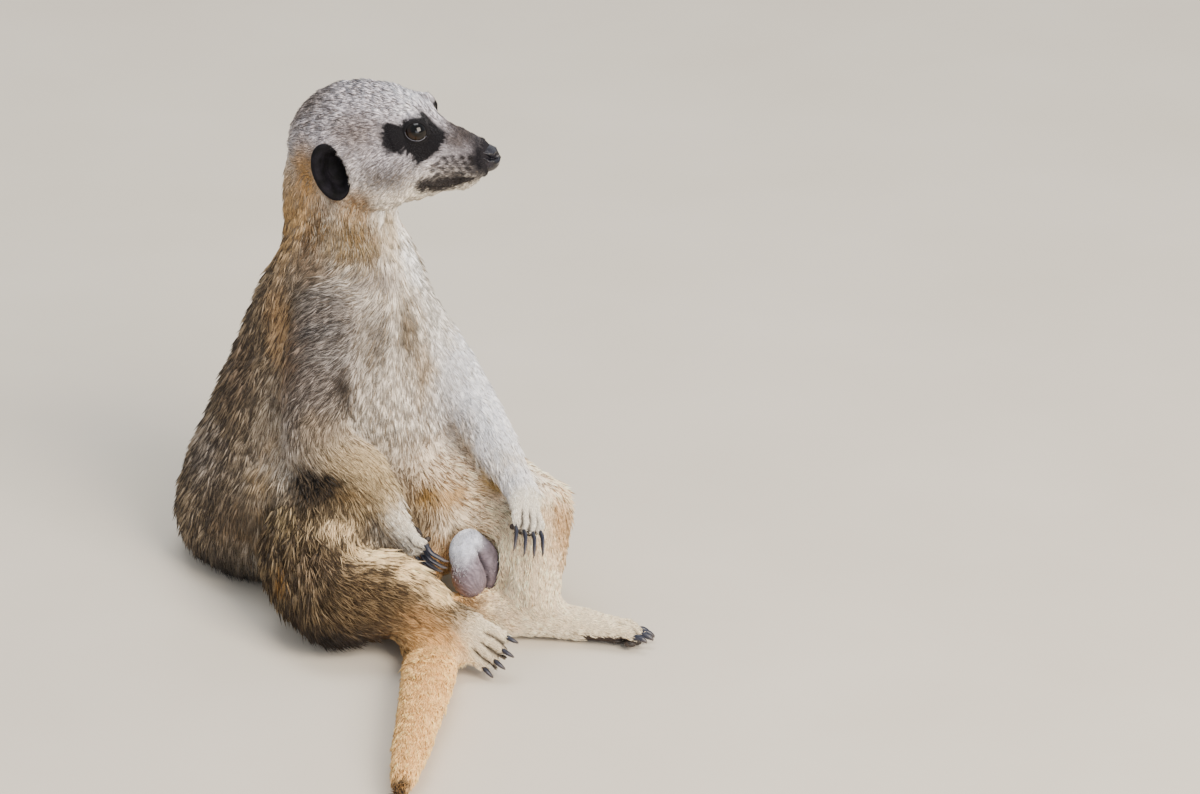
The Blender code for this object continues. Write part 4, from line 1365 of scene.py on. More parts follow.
@dataclass(frozen=True)
class Paw:
    """One paw's fine parts: four claws and the leather pads under its toes."""

    name: str
    knuckles: Array
    ahead: Place
    back: Place
    toes: Toes
    pads: bool = True

    def axes(self) -> tuple[Array, Array, Array]:
        """Unit directions ahead along the paw, across it, and over, the way its back faces.

        Returns:
            The three directions.
        """
        ahead = unit(np.array(self.ahead))
        over = unit(np.array(self.back) - np.array(self.back) @ ahead * ahead)
        return ahead, np.cross(over, ahead), over

    def toe(self, index: int) -> tuple[Array, Array, Array]:
        """A toe's heading, its tip, and the way its upper side faces, as in the drawing of the solids.

        Args:
            index: 0 to 3, across the paw.

        Returns:
            Heading, tip and upper side.
        """
        ahead, across, over = self.axes()
        place = (index - 1.5) / 1.5
        angle = math.radians(self.toes.fan * place)
        heading = ahead * math.cos(angle) + across * math.sin(angle)
        start = self.knuckles + across * place * self.toes.spread
        reach = self.toes.length * (1 - 0.22 * place * place)
        return heading, start + heading * reach - over * self.toes.radius * 0.45, over

    def cleft(self, points: Array) -> Array:
        """How deep each point lies in a valley between neighbouring toes, from none to one.

        Args:
            points: places in millimetres, one row each.

        Returns:
            One share for each point.
        """
        share = np.zeros(len(points))
        toes = [self.toe(index) for index in range(4)]
        for (one, tip, over), (other, next_tip, _) in zip(toes[:-1], toes[1:]):
            heading = unit(one + other)
            away = points - (tip + next_tip) / 2
            along = away @ heading
            beside = np.abs(away @ np.cross(over, heading))
            near = (np.abs(away @ over) < 8) & (along < 7)
            valley = np.exp(-((beside / (0.27 * self.toes.radius)) ** 2)) * ease((along + 10.0) / 6.0)
            share = np.maximum(share, near * valley)
        return share

    def build(self) -> list[bpy.types.Object]:
        """Claws as curved, side-flattened cones, and pads as low domes under each toe and the ball.

        Returns:
            The claws' object and the pads'.
        """
        claws, pads, maps = [], [], []
        size = 0.45 if self.toes.claw > 8 else 0.75
        for index in range(4):
            heading, tip, over = self.toe(index)
            radius, long, droop = self.toes.radius, self.toes.claw, self.toes.droop
            root = tip + over * 0.2 * radius + heading * 0.4 * radius
            knots = np.stack(
                (
                    root - heading * 2.2 - over * 0.3,
                    root,
                    root + heading * 0.30 * long + over * 0.05 * long,
                    root + heading * 0.62 * long - over * (0.03 * long + 0.1 * droop),
                    root + heading * 0.87 * long - over * 0.55 * droop,
                    root + heading * long - over * droop,
                )
            )
            path = curve_through(knots, 34)
            share = np.linspace(0, 1, 34)
            taper = np.interp(share, (0, 0.06, 0.3, 0.6, 0.85, 0.96, 1), (0.0, 0.8, 1.0, 0.86, 0.5, 0.2, 0.0))
            side, deep = (0.78, 1.1) if long > 8 else (1.0, 1.3)
            points, faces = tube(path, taper * side + 0.0005, taper * deep + 0.0005, over, 16)
            claws.append((points, faces))
            maps.append(np.stack((np.tile(np.linspace(0, 1, 16), 34), np.repeat(share, 16)), -1))
            if self.pads:
                under = tip - over * radius * 0.66 - heading * 0.9
                pads.append(self.dome(under, heading, over, (radius * size, radius * 0.55, 1.4)))
        keratin = Horn(f"claw_keratin_{self.name}", 0.34, 0.5)
        horn = make_piece(f"claws_{self.name}", *joined(claws), "claw_horn", keratin)
        lay_map(horn, np.vstack(maps), "along")
        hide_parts(*(f"claw_{self.name}_{number}" for number in (1, 2, 3, 4)))
        made = [weld(horn)]
        if self.pads:
            heading, _, over = self.toe(1)
            ball = self.knuckles - over * (self.toes.radius * 1.15) + heading * 1.0
            pads.append(self.dome(ball, heading, over, (3.8, 4.8, 1.6)))
            points, faces = joined(pads)
            points[:, 2] = np.maximum(points[:, 2], 0.05)
            leather = BareSkin(f"pad_leather_{self.name}", 0.6, 0.4, "#1d1917", "#4a403a", 0.7, 0.12, 0.05)
            made.append(weld(make_piece(f"pads_{self.name}", points, faces, "dark_skin", leather)))
        return made

    def dome(self, middle: Array, heading: Array, over: Array, half: Place) -> tuple[Array, Array]:
        """A low cushion: an egg squashed along the way the paw's back faces.

        Args:
            middle: its centre.
            heading: the toe's direction.
            over: the paw's upper side.
            half: its half-sizes.

        Returns:
            Points and faces.
        """
        rings, around = 14, 22
        local = np.roll(ball_ways(rings, around), 1, axis=1) * np.array(half)
        return middle + local @ np.stack((heading, np.cross(over, heading), over)), grid_faces(rings, around)


@dataclass(frozen=True)
class Lobe:
    """One egg of the scrotum, in the trunk's axes: middle from the scrotum's own, and half-sizes."""

    middle: Place
    half: Place

    def egg(self, local: Array) -> Array:
        """How far out each point lies, where one is the egg's surface."""
        return np.linalg.norm((local - np.array(self.middle)) / np.array(self.half), axis=1)


@dataclass(frozen=True)
class Scrotum:
    """Two bare lobes of thin, grey, finely wrinkled skin under a paler root, with a groove between in painted
    shade.
    """

    middle: Place = (55.0, 25.0, 26.0)
    lobes: tuple[Lobe, ...] = (
        Lobe((2.8, -1.4, -5.4), (8.2, 6.8, 9.0)),
        Lobe((3.8, 6.6, -2.8), (6.8, 5.2, 11.2)),
        Lobe((-0.6, 1.4, 3.6), (7.4, 8.6, 9.6)),
    )

    def reach(self, way: Array) -> Array:
        """How far a ray from the middle runs before it leaves the last lobe, by a soft maximum of the lobes.

        Args:
            way: unit directions.

        Returns:
            One distance for each.
        """
        found = []
        for lobe in self.lobes:
            half, away = np.array(lobe.half), np.array(lobe.middle)
            a = ((way / half) ** 2).sum(1)
            b = (way * away / half**2).sum(1)
            c = ((away / half) ** 2).sum() - 1
            found.append((b + np.sqrt(np.maximum(b * b - a * c, 0))) / a)
        reach = np.stack(found)
        return np.log(np.exp(reach * 0.9).sum(0)) / 0.9 - 0.4

    def surface(self) -> tuple[Array, Array]:
        """The closed skin that the reach gives, with the groove and the wrinkles pressed in.

        Returns:
            Points and faces.
        """
        rings, around = 110, 150
        way = ball_ways(rings, around)
        local = way * self.reach(way)[:, None]
        low = ease((5.0 - local[:, 2]) / 8)
        run = np.arctan2(local[:, 1], local[:, 2] + 14)
        wrinkle = 0.10 * np.sin(run * 46 + 1.6 * np.sin(local[:, 2] * 0.9)) * low
        local = local - way * (2.0 * self.groove(local) - wrinkle)[:, None]
        return spot(*self.middle) + local @ TRUNK_AXES, grid_faces(rings, around)

    def groove(self, local: Array) -> Array:
        """One along the furrow between the lobes, falling away beside it."""
        between = np.exp(-(((self.lobes[0].egg(local) - self.lobes[1].egg(local)) / 0.13) ** 2))
        return between * ease((9.0 - local[:, 2]) / 5) * (local[:, 0] > -3)

    def build(self) -> bpy.types.Object:
        """The skin with its tones: mauve-grey below, painted shade along the furrow, pale and bluish at the
        root.

        Returns:
            The scrotum.
        """
        points, faces = self.surface()
        local = (points - spot(*self.middle)) @ TRUNK_AXES.T
        # Thin skin over soft tissue: greyish and matt, with hairline creases that run across.
        thin = Skin("scrotum_thin_skin", 0.7, 0.25, 0.7, 5.0, 3.2, (0.3, 0.7), (0.78, 1.12), 0.3, 0.7)
        made = make_piece("scrotum_skin", points, faces, "bare_grey_skin", thin)
        height = ease((local[:, 2] - 2.0 - 0.7 * local[:, 1]) / 9)
        tone = mixed(linear("#7c7078"), linear("#d2d6e4"), height)
        tone = tone * (1 - 0.4 * ease((local[:, 1] - 3.5) / 3))[:, None]
        run = np.arctan2(local[:, 1], local[:, 2] + 14)
        streak = np.sin(run * 46 + 1.6 * np.sin(local[:, 2] * 0.9) + Ripple(3.0, 23).at(points))
        tone = tone * (1 + Ripple(4.0, 21).at(points) * 0.10 + streak * 0.20 * (1 - height))[:, None]
        # Painted shade: the skin darkens along the furrow between the lobes.
        paint(made, "tone", np.clip(tone * (1 - 0.78 * self.groove(local))[:, None], 0, 1))
        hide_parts("scrotum")
        return weld(made)


NOSE, SCROTUM = Nose(), Scrotum()


# ---- the hide ----
def joined_edges(faces: Array) -> Array:
    """Each edge of a triangle mesh once, as two corner numbers.

    Args:
        faces: the triangles.

    Returns:
        Two corner numbers in each row.
    """
    pairs = np.vstack((faces[:, (0, 1)], faces[:, (1, 2)], faces[:, (2, 0)]))
    pairs.sort(axis=1)
    size = int(faces.max()) + 1
    code = np.unique(pairs[:, 0].astype(np.int64) * size + pairs[:, 1])
    return np.stack((code // size, code % size), -1)


def evened(values: Array, edges: Array, rounds: int, share: Array | float = 0.5) -> Array:
    """Moves each corner's numbers towards the mean of its neighbours', several times.

    Args:
        values: a row for each corner.
        edges: the mesh's edges.
        rounds: how many times.
        share: how far to move, for all or for each.

    Returns:
        The rows after the last round.
    """
    first, second = edges.T
    count = np.bincount(edges.ravel(), minlength=len(values)).astype(float)[:, None]
    part = np.broadcast_to(np.asarray(share, dtype=float).reshape(-1, 1), (len(values), 1))
    for _ in range(rounds):
        total = np.empty_like(values)
        for number, column in enumerate(values.T):
            total[:, number] = np.bincount(first, column[second], len(values))
            total[:, number] += np.bincount(second, column[first], len(values))
        values = values + (total / np.maximum(count, 1) - values) * part
    return values


def corner_normals(points: Array, faces: Array) -> Array:
    """The area-weighted mean of the normals of the triangles round each corner.

    Args:
        points: the corners.
        faces: the triangles.

    Returns:
        One unit row for each corner.
    """
    a, b, c = (points[faces[:, i]] for i in range(3))
    flat = np.cross(b - a, c - a)
    total = np.zeros_like(points)
    for i in range(3):
        for axis in range(3):
            total[:, axis] += np.bincount(faces[:, i], flat[:, axis], len(points))
    return unit(total)


@dataclass
class Hide:
    """The one skin over every length of flesh: no seams, and a coat's depth inside the solids' outline."""

    skeleton: Skeleton
    eyes: tuple[Eye, ...]
    ears: tuple[Ear, ...]
    paws: tuple[Paw, ...]
    colouring: Colouring
    voxel: float = 1.7
    swell: float = 0.4
    points: Array = field(init=False, default=None)
    faces: Array = field(init=False, default=None)
    normals: Array = field(init=False, default=None)
    rows: Array = field(init=False, default=None)

    def flesh(self) -> list[str]:
        """The nodes that this hide stands for.

        Returns:
            Their names.
        """
        limbs = ("thigh", "shank", "foot", "upper_arm", "forearm", "hand")
        sided = [f"{limb}_{side.word}" for limb in limbs for side in Side]
        return ["head", "neck", "trunk", "rump", "tail_root", "tail_middle", "tail_tip", *sided]

    def swollen(self, name: str) -> tuple[Array, Array]:
        """A merged copy of one node's surface, pushed out along its normals so that neighbours overlap.

        Args:
            name: the node.

        Returns:
            Points in millimetres, and triangles.
        """
        shape = bmesh.new()
        shape.from_mesh(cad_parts[name].data)
        bmesh.ops.remove_doubles(shape, verts=shape.verts, dist=SAME_CORNER)
        bmesh.ops.triangulate(shape, faces=shape.faces)
        merged = bpy.data.meshes.new("merged")
        shape.to_mesh(merged)
        shape.free()
        points, faces = mesh_arrays(merged)
        bpy.data.meshes.remove(merged)
        return points + corner_normals(points, faces) * self.swell, faces

    def run_together(self) -> None:
        """Joins the swollen copies with the seats of eyes, ears and nose, and takes one skin off them."""
        filled = ["nose", *(f"{part}_{side.word}" for part in ("eye", "ear") for side in Side)]
        nape = ((-4, 65, 160), (-7.3, 70, 145.5), (-9.5, 72, 134.6), (-15.3, 74, 123), (-26, 80, 101))
        folds = [
            self.fold(spots((42, 27, 5), (56, 21, 6.5), (68, 14, 7.5), (82, 10, 10)), 9.5),
            self.fold(spots((83, 32, 32), (82, 17, 20), (75, 8, 9)), 12.0),
            self.fold(spots(*nape, (-37, 87, 78)), 13.5),
        ]
        points, faces = joined([*(self.swollen(name) for name in (*self.flesh(), *filled)), *folds])
        rough = make_piece("rough", points, faces)
        modifier = rough.modifiers.new("skin", "REMESH")
        modifier.mode = "VOXEL"
        modifier.voxel_size = self.voxel * MM
        evaluated = rough.evaluated_get(bpy.context.evaluated_depsgraph_get())
        skin = bpy.data.meshes.new_from_object(evaluated)
        bpy.data.objects.remove(rough)
        LOG.info("skin before the fine cells: %d cells", len(skin.polygons))
        for chosen in (self.coarse_face, self.fine_face):
            shape = bmesh.new()
            shape.from_mesh(skin)
            shape.faces.ensure_lookup_table()
            middles = np.empty(len(skin.polygons) * 3, dtype=np.float32)
            skin.polygons.foreach_get("center", middles)
            numbers = np.flatnonzero(chosen(middles.reshape(-1, 3) / MM))
            edges = list({edge for number in numbers for edge in shape.faces[number].edges})
            bmesh.ops.subdivide_edges(shape, edges=edges, cuts=1, use_grid_fill=True)
            bmesh.ops.triangulate(shape, faces=[face for face in shape.faces if len(face.verts) > 4])
            shape.to_mesh(skin)
            shape.free()
            LOG.info("skin with finer cells: %d cells", len(skin.polygons))
        shape = bmesh.new()
        shape.from_mesh(skin)
        bmesh.ops.triangulate(shape, faces=shape.faces)
        shape.to_mesh(skin)
        shape.free()
        self.points, self.faces = mesh_arrays(skin)
        bpy.data.meshes.remove(skin)

    def fold(self, knots: tuple, girth: float) -> tuple[Array, Array]:
        """A round web of skin along the knots, closed at both ends, that fills a fold between two parts.

        Args:
            knots: places along its middle.
            girth: its greatest radius.

        Returns:
            Points and triangles.
        """
        size = girth * np.sin(np.linspace(0, math.pi, 18)) ** 0.35
        points, faces = tube(curve_through(np.array(knots), 18), size, size, UP, 20)
        return points, halved(faces)

    def coarse_face(self, middles: Array) -> Array:
        """Where the skin needs cells half as wide: the face, the ears' seats and the paws.

        Args:
            middles: the cells' middles.

        Returns:
            True for each cell to split.
        """
        local = to_head(middles)
        face = (local[:, 0] > -46) & (local[:, 2] > -30)
        for paw in self.paws:
            face |= np.linalg.norm(middles - paw.knuckles, axis=1) < 17
        return face

    def fine_face(self, middles: Array) -> Array:
        """Where the skin needs cells half as wide again: round the eyes and along the lips.

        Args:
            middles: the cells' middles.

        Returns:
            True for each cell to split.
        """
        local = to_head(middles)
        line = reach_to_line(local[:, 0], local[:, 2], LIP_LINE)
        found = (line < 2.2) & (local[:, 0] > -34) & (local[:, 2] > -13) & (np.abs(local[:, 1]) < 16)
        for eye in self.eyes:
            found |= np.linalg.norm(middles - eye.middle(), axis=1) < 8.6
        for paw in self.paws:
            found |= np.linalg.norm(middles - paw.knuckles - paw.axes()[0] * 5, axis=1) < 8.5
        return found

    def build(self) -> bpy.types.Object:
        """Runs the flesh together, sinks it by the coat's depth, shapes the face and paints it, painted shade
        included.

        Returns:
            The skin's object.
        """
        self.run_together()
        edges = joined_edges(self.faces)
        self.points = evened(self.points, edges, 9)
        self.rows = evened(self.skeleton.coat_rows(self.points), edges, 40)
        self.rows[:, TICKING : GUARD.stop] = evened(self.rows[:, TICKING : GUARD.stop], edges, 80)
        self.colouring.lay(self.points, self.rows)
        self.normals = corner_normals(self.points, self.faces)
        self.thin_round_features()
        self.part_toes()
        self.points = self.points - self.normals * (self.rows[:, DEPTH] + self.swell)[:, None]
        self.points = evened(self.points, edges, 2)
        self.shape_eyes()
        self.shape_muzzle()
        self.shape_ears()
        self.shape_toes()
        self.points[:, 2] = np.maximum(self.points[:, 2], 0.25)
        self.normals = corner_normals(self.points, self.faces)
        self.rows[:, WAY] = self.lie()
        # Skin under a coat: dusty and matt, with the grain that short flat hairs give it.
        undergrain = Skin("coat_undergrain", 0.85, 0.2)
        made = make_piece("hide", self.points, self.faces, "tawny_coat", undergrain)
        paint(made, "tone", self.skin_tone())
        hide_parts(*self.flesh())
        return made

    def thin_round_features(self) -> None:
        """Shortens and flattens the coat towards eyes, nose, lips and ears, where it is only a velvet."""
        ahead, _, high = to_head(self.points).T
        near = np.full(len(self.points), BEYOND)
        for eye in self.eyes:
            gap, far = eye.opening(self.points)
            near = np.minimum(near, np.where(far < 12, np.maximum(gap, 0.0), BEYOND))
        line = reach_to_line(ahead, high, LIP_LINE)
        near = np.minimum(near, np.where((ahead > -34) & (high > -14), line + 0.8, BEYOND))
        for ear in self.ears:
            placed = ear.local(self.points)
            outside = np.maximum(ear.oval(placed) - 1, 0) * 9 + 1.2
            near = np.minimum(near, np.where(np.abs(placed[:, 1]) < 9, outside, BEYOND))
        share = 0.25 + 0.75 * ease(near / 6.0)
        self.rows[:, DEPTH] *= share
        self.rows[:, LENGTH] *= 0.15 + 0.85 * share
        self.rows[:, WIDTH] *= 0.3 + 0.7 * share
        self.rows[:, DENSITY] *= 1 + 0.9 * (1 - share)

    def shape_eyes(self) -> None:
        """Opens each socket and rolls the lids over the ball, by the radius from the ball's middle."""
        for eye in self.eyes:
            gap, far = eye.opening(self.points)
            lid = eye.radius - 1.2 + 1.5 * ease((gap + 0.25) / 0.55) + 0.25 * ease((gap - 0.3) / 1.0)
            hold = (1 - ease((gap - 0.9) / 2.8)) * (far < 11)
            middle = eye.middle()
            placed = middle + unit(self.points - middle) * lid[:, None]
            self.points = mixed(self.points, placed, hold)

    def shape_muzzle(self) -> None:
        """Cuts the line of the lips and the nose pad's hollow, and lifts the lip above the line."""
        local = to_head(self.points)
        normals = corner_normals(self.points, self.faces)
        line = reach_to_line(local[:, 0], local[:, 2], LIP_LINE)
        front = (local[:, 0] > -36) & (local[:, 2] < -3) & (local[:, 2] > -14)
        sunk = front * (0.95 * np.exp(-((line / 0.5) ** 2)) - 0.22 * np.exp(-(((line - 1.3) / 0.7) ** 2)))
        seat = ease((1.12 - NOSE.egg(local)) / 0.3) * (local[:, 0] > NOSE.seat[0] - 2.5)
        sunk = sunk + 1.3 * seat
        self.points = self.points - normals * sunk[:, None]

    def shape_ears(self) -> None:
        """Pushes the skin under each ear cup inwards, so that the hollow is the cup's own."""
        for ear in self.ears:
            placed = ear.local(self.points)
            hold = ease((1.0 - ear.oval(placed)) / 0.2) * (np.abs(placed[:, 1]) < 9)
            placed[:, 1] = np.minimum(placed[:, 1], placed[:, 1] * (1 - hold) - 5.0 * hold)
            self.points = mixed(self.points, ear.middle() + placed @ ear.axes(), hold)

    def part_toes(self) -> None:
        """Shortens and thins the coat in the clefts between toes, and darkens it there as darker skin and
        painted shade.
        """
        cleft = np.max([paw.cleft(self.points) for paw in self.paws], axis=0)
        # Dark brown in each cleft: partly the darker skin between toes, partly painted shade between them.
        self.colouring.recolour(self.rows, ease(cleft * 1.25) * 0.9, "#3a2c20")
        self.rows[:, LENGTH] *= 1 - 0.5 * cleft
        self.rows[:, DEPTH] *= 1 - 0.5 * cleft

    def shape_toes(self) -> None:
        """Sinks the skin along each cleft, so that each toe stands alone."""
        normals = corner_normals(self.points, self.faces)
        for paw in self.paws:
            self.points = self.points - normals * (paw.cleft(self.points) * 0.66 * paw.toes.radius)[:, None]

    def lie(self) -> Array:
        """The way hair lies at each corner: along the bone, turned by the combings, flat on the skin.

        Returns:
            One unit row for each corner.
        """
        way = unit(self.rows[:, WAY])
        for comb in COMBINGS:
            way = way + comb.pull(self.points)
        way = way - (way * self.normals).sum(1)[:, None] * self.normals
        return unit(evened(unit(way), joined_edges(self.faces), 6))

    def sole_share(self, points: Array, normals: Array) -> Array:
        """One on the bare leather of a paw's underside, none elsewhere.

        Args:
            points: places in millimetres, one row each.
            normals: the skin's outward directions there.

        Returns:
            One share for each point.
        """
        share = np.zeros(len(points))
        for paw in self.paws:
            ahead, across, over = paw.axes()
            away = points - paw.knuckles
            near = (away @ ahead > -13) & (away @ ahead < 16) & (np.abs(away @ over) < 9)
            near &= np.abs(away @ across) < 10
            share = np.maximum(share, near * ease((-normals @ over - 0.25) / 0.35))
        return share

    def skin_tone(self) -> Array:
        """The coat's colours dimmed as painted shade under the hair, with bare leather on lids, lips and soles.

        Returns:
            One linear colour for each corner.
        """
        # A set share darker as painted shade under the hair, and darker still where the coat is ticked.
        tone = self.rows[:, GROUND] * (1 - self.rows[:, TICKING] * 0.5)[:, None] * 0.62
        sole = self.sole_share(self.points, self.normals)
        tone = mixed(tone, linear("#3d3430"), sole)
        for eye in self.eyes:
            gap, far = eye.opening(self.points)
            lid = ease((1.8 - gap) / 0.8) * (far < 9)
            tone = mixed(tone, linear("#121114"), lid)
        inside = NOSE.egg(to_head(self.points))
        tone = mixed(tone, linear("#1b191d"), ease((1.35 - inside) / 0.2))
        return np.clip(tone, 0, 1)

    def growth(self, points: Array, normals: Array) -> Array:
        """The share of hair that grows at each place: none on lids, nose, lips, ears, soles and scrotum.

        Args:
            points: places in millimetres, one row each.
            normals: the skin's outward directions there.

        Returns:
            One share for each point.
        """
        local = to_head(points)
        share = 1 - self.sole_share(points, normals)
        for eye in self.eyes:
            gap, far = eye.opening(points)
            share = share * np.where(far < 10, ease((gap - 0.7) / 0.9), 1.0)
        for ear in self.ears:
            placed = ear.local(points)
            bare = ease((ear.oval(placed) - 0.92) / 0.08)
            share = share * np.where(np.abs(placed[:, 1]) < 10, bare, 1.0)
        share = share * ease((NOSE.egg(local) - 1.05) / 0.12)
        line = reach_to_line(local[:, 0], local[:, 2], LIP_LINE)
        muzzle = (local[:, 0] > -36) & (local[:, 2] > -14)
        share = share * np.where(muzzle, ease((line - 0.35) / 0.4), 1.0)
        away = (points - spot(*SCROTUM.middle)) @ TRUNK_AXES.T
        far = np.linalg.norm(away, axis=1)
        return share * ease((far - SCROTUM.reach(away / far[:, None]) + 0.4) / 0.8)

    def surface_at(self, forward: float, up: float, side: Side) -> Array:
        """The skin's point on one side of the head at a place in the side view.

        Args:
            forward: place ahead of the nose tip.
            up: place above it.
            side: which side of the head.

        Returns:
            The point.
        """
        local = to_head(self.points)
        miss = np.hypot(local[:, 0] - forward, local[:, 2] - up) + 99 * (local[:, 1] * side.value < 0)
        return self.points[np.argmin(miss)]


def mesh_arrays(mesh: bpy.types.Mesh) -> tuple[Array, Array]:
    """A triangle mesh's corners in millimetres and its faces.

    Args:
        mesh: the mesh.

    Returns:
        Corners and triangles.
    """
    points = np.empty(len(mesh.vertices) * 3, dtype=np.float32)
    mesh.vertices.foreach_get("co", points)
    faces = np.empty(len(mesh.loops), dtype=np.int32)
    mesh.loops.foreach_get("vertex_index", faces)
    return points.reshape(-1, 3).astype(float) / MM, faces.reshape(-1, 3)


@dataclass(frozen=True)
class Combing:
    """A place where hair is swept another way than along its bone, in the drawing's millimetres."""

    middle: Place
    reach: float
    way: Place
    strength: float = 1.0

    def pull(self, points: Array) -> Array:
        """The sweep's heading at each point, fading with the square of the distance."""
        away = np.linalg.norm(points - spot(*self.middle), axis=1)
        return np.array(self.way) * (self.strength * np.exp(-((away / self.reach) ** 2)))[:, None]


COMBINGS = (
    Combing((18, 52, 176), 16, (-0.5, -0.1, -0.9), 1.6),
    Combing((18, 104, 176), 16, (-0.5, 0.1, -0.9), 1.6),
    Combing((6, 48, 134), 18, (-0.95, -0.3, 0.05), 3.2),
    Combing((4, 40, 116), 17, (-0.95, -0.3, 0.05), 2.6),
    Combing((2, 34, 98), 14, (-0.9, 0.0, -0.2), 1.4),
    Combing((14, 56, 149), 13, (0.9, -0.2, -0.2), 1.6),
    Combing((34, 66, 132), 14, (0.1, 0.0, -1.0), 1.0),
    Combing((36, 52, 62), 16, (0.35, -0.3, -0.3), 1.0),
    Combing((-22, 42, 50), 20, (0.3, -0.4, -0.6), 0.9),
    Combing((-16, -8, 22), 22, (0.2, 0.0, -1.0), 1.0),
    Combing((8, -22, 24), 18, (0.6, 0.1, -0.8), 0.8),
    Combing((-40, 60, 18), 24, (0.1, -0.2, -1.0), 0.7),
)


# ---- the coat ----
@dataclass(frozen=True)
class CoatGroup:
    """The lengths of the body that share one sheet of coat, and a material slot's name that goes unused."""

    name: str
    bones: tuple[str, ...]
    slot: str


COAT_GROUPS = (
    CoatGroup("coat_head", ("muzzle", "skull"), "pale_face_coat"),
    CoatGroup("coat_neck", ("neck",), "tawny_coat"),
    CoatGroup("coat_trunk", ("trunk",), "grizzled_coat"),
    CoatGroup("coat_arms", ("upper_right", "fore_right", "upper_left", "fore_left"), "grizzled_coat"),
    CoatGroup("coat_leg_right", ("thigh_right", "shank_right"), "grizzled_coat"),
    CoatGroup("coat_leg_left", ("thigh_left", "shank_left"), "tawny_coat"),
    CoatGroup("coat_paws", ("hand_right", "hand_left", "foot_right", "foot_left"), "tawny_coat"),
    CoatGroup("coat_tail", ("tail",), "tawny_coat"),
)


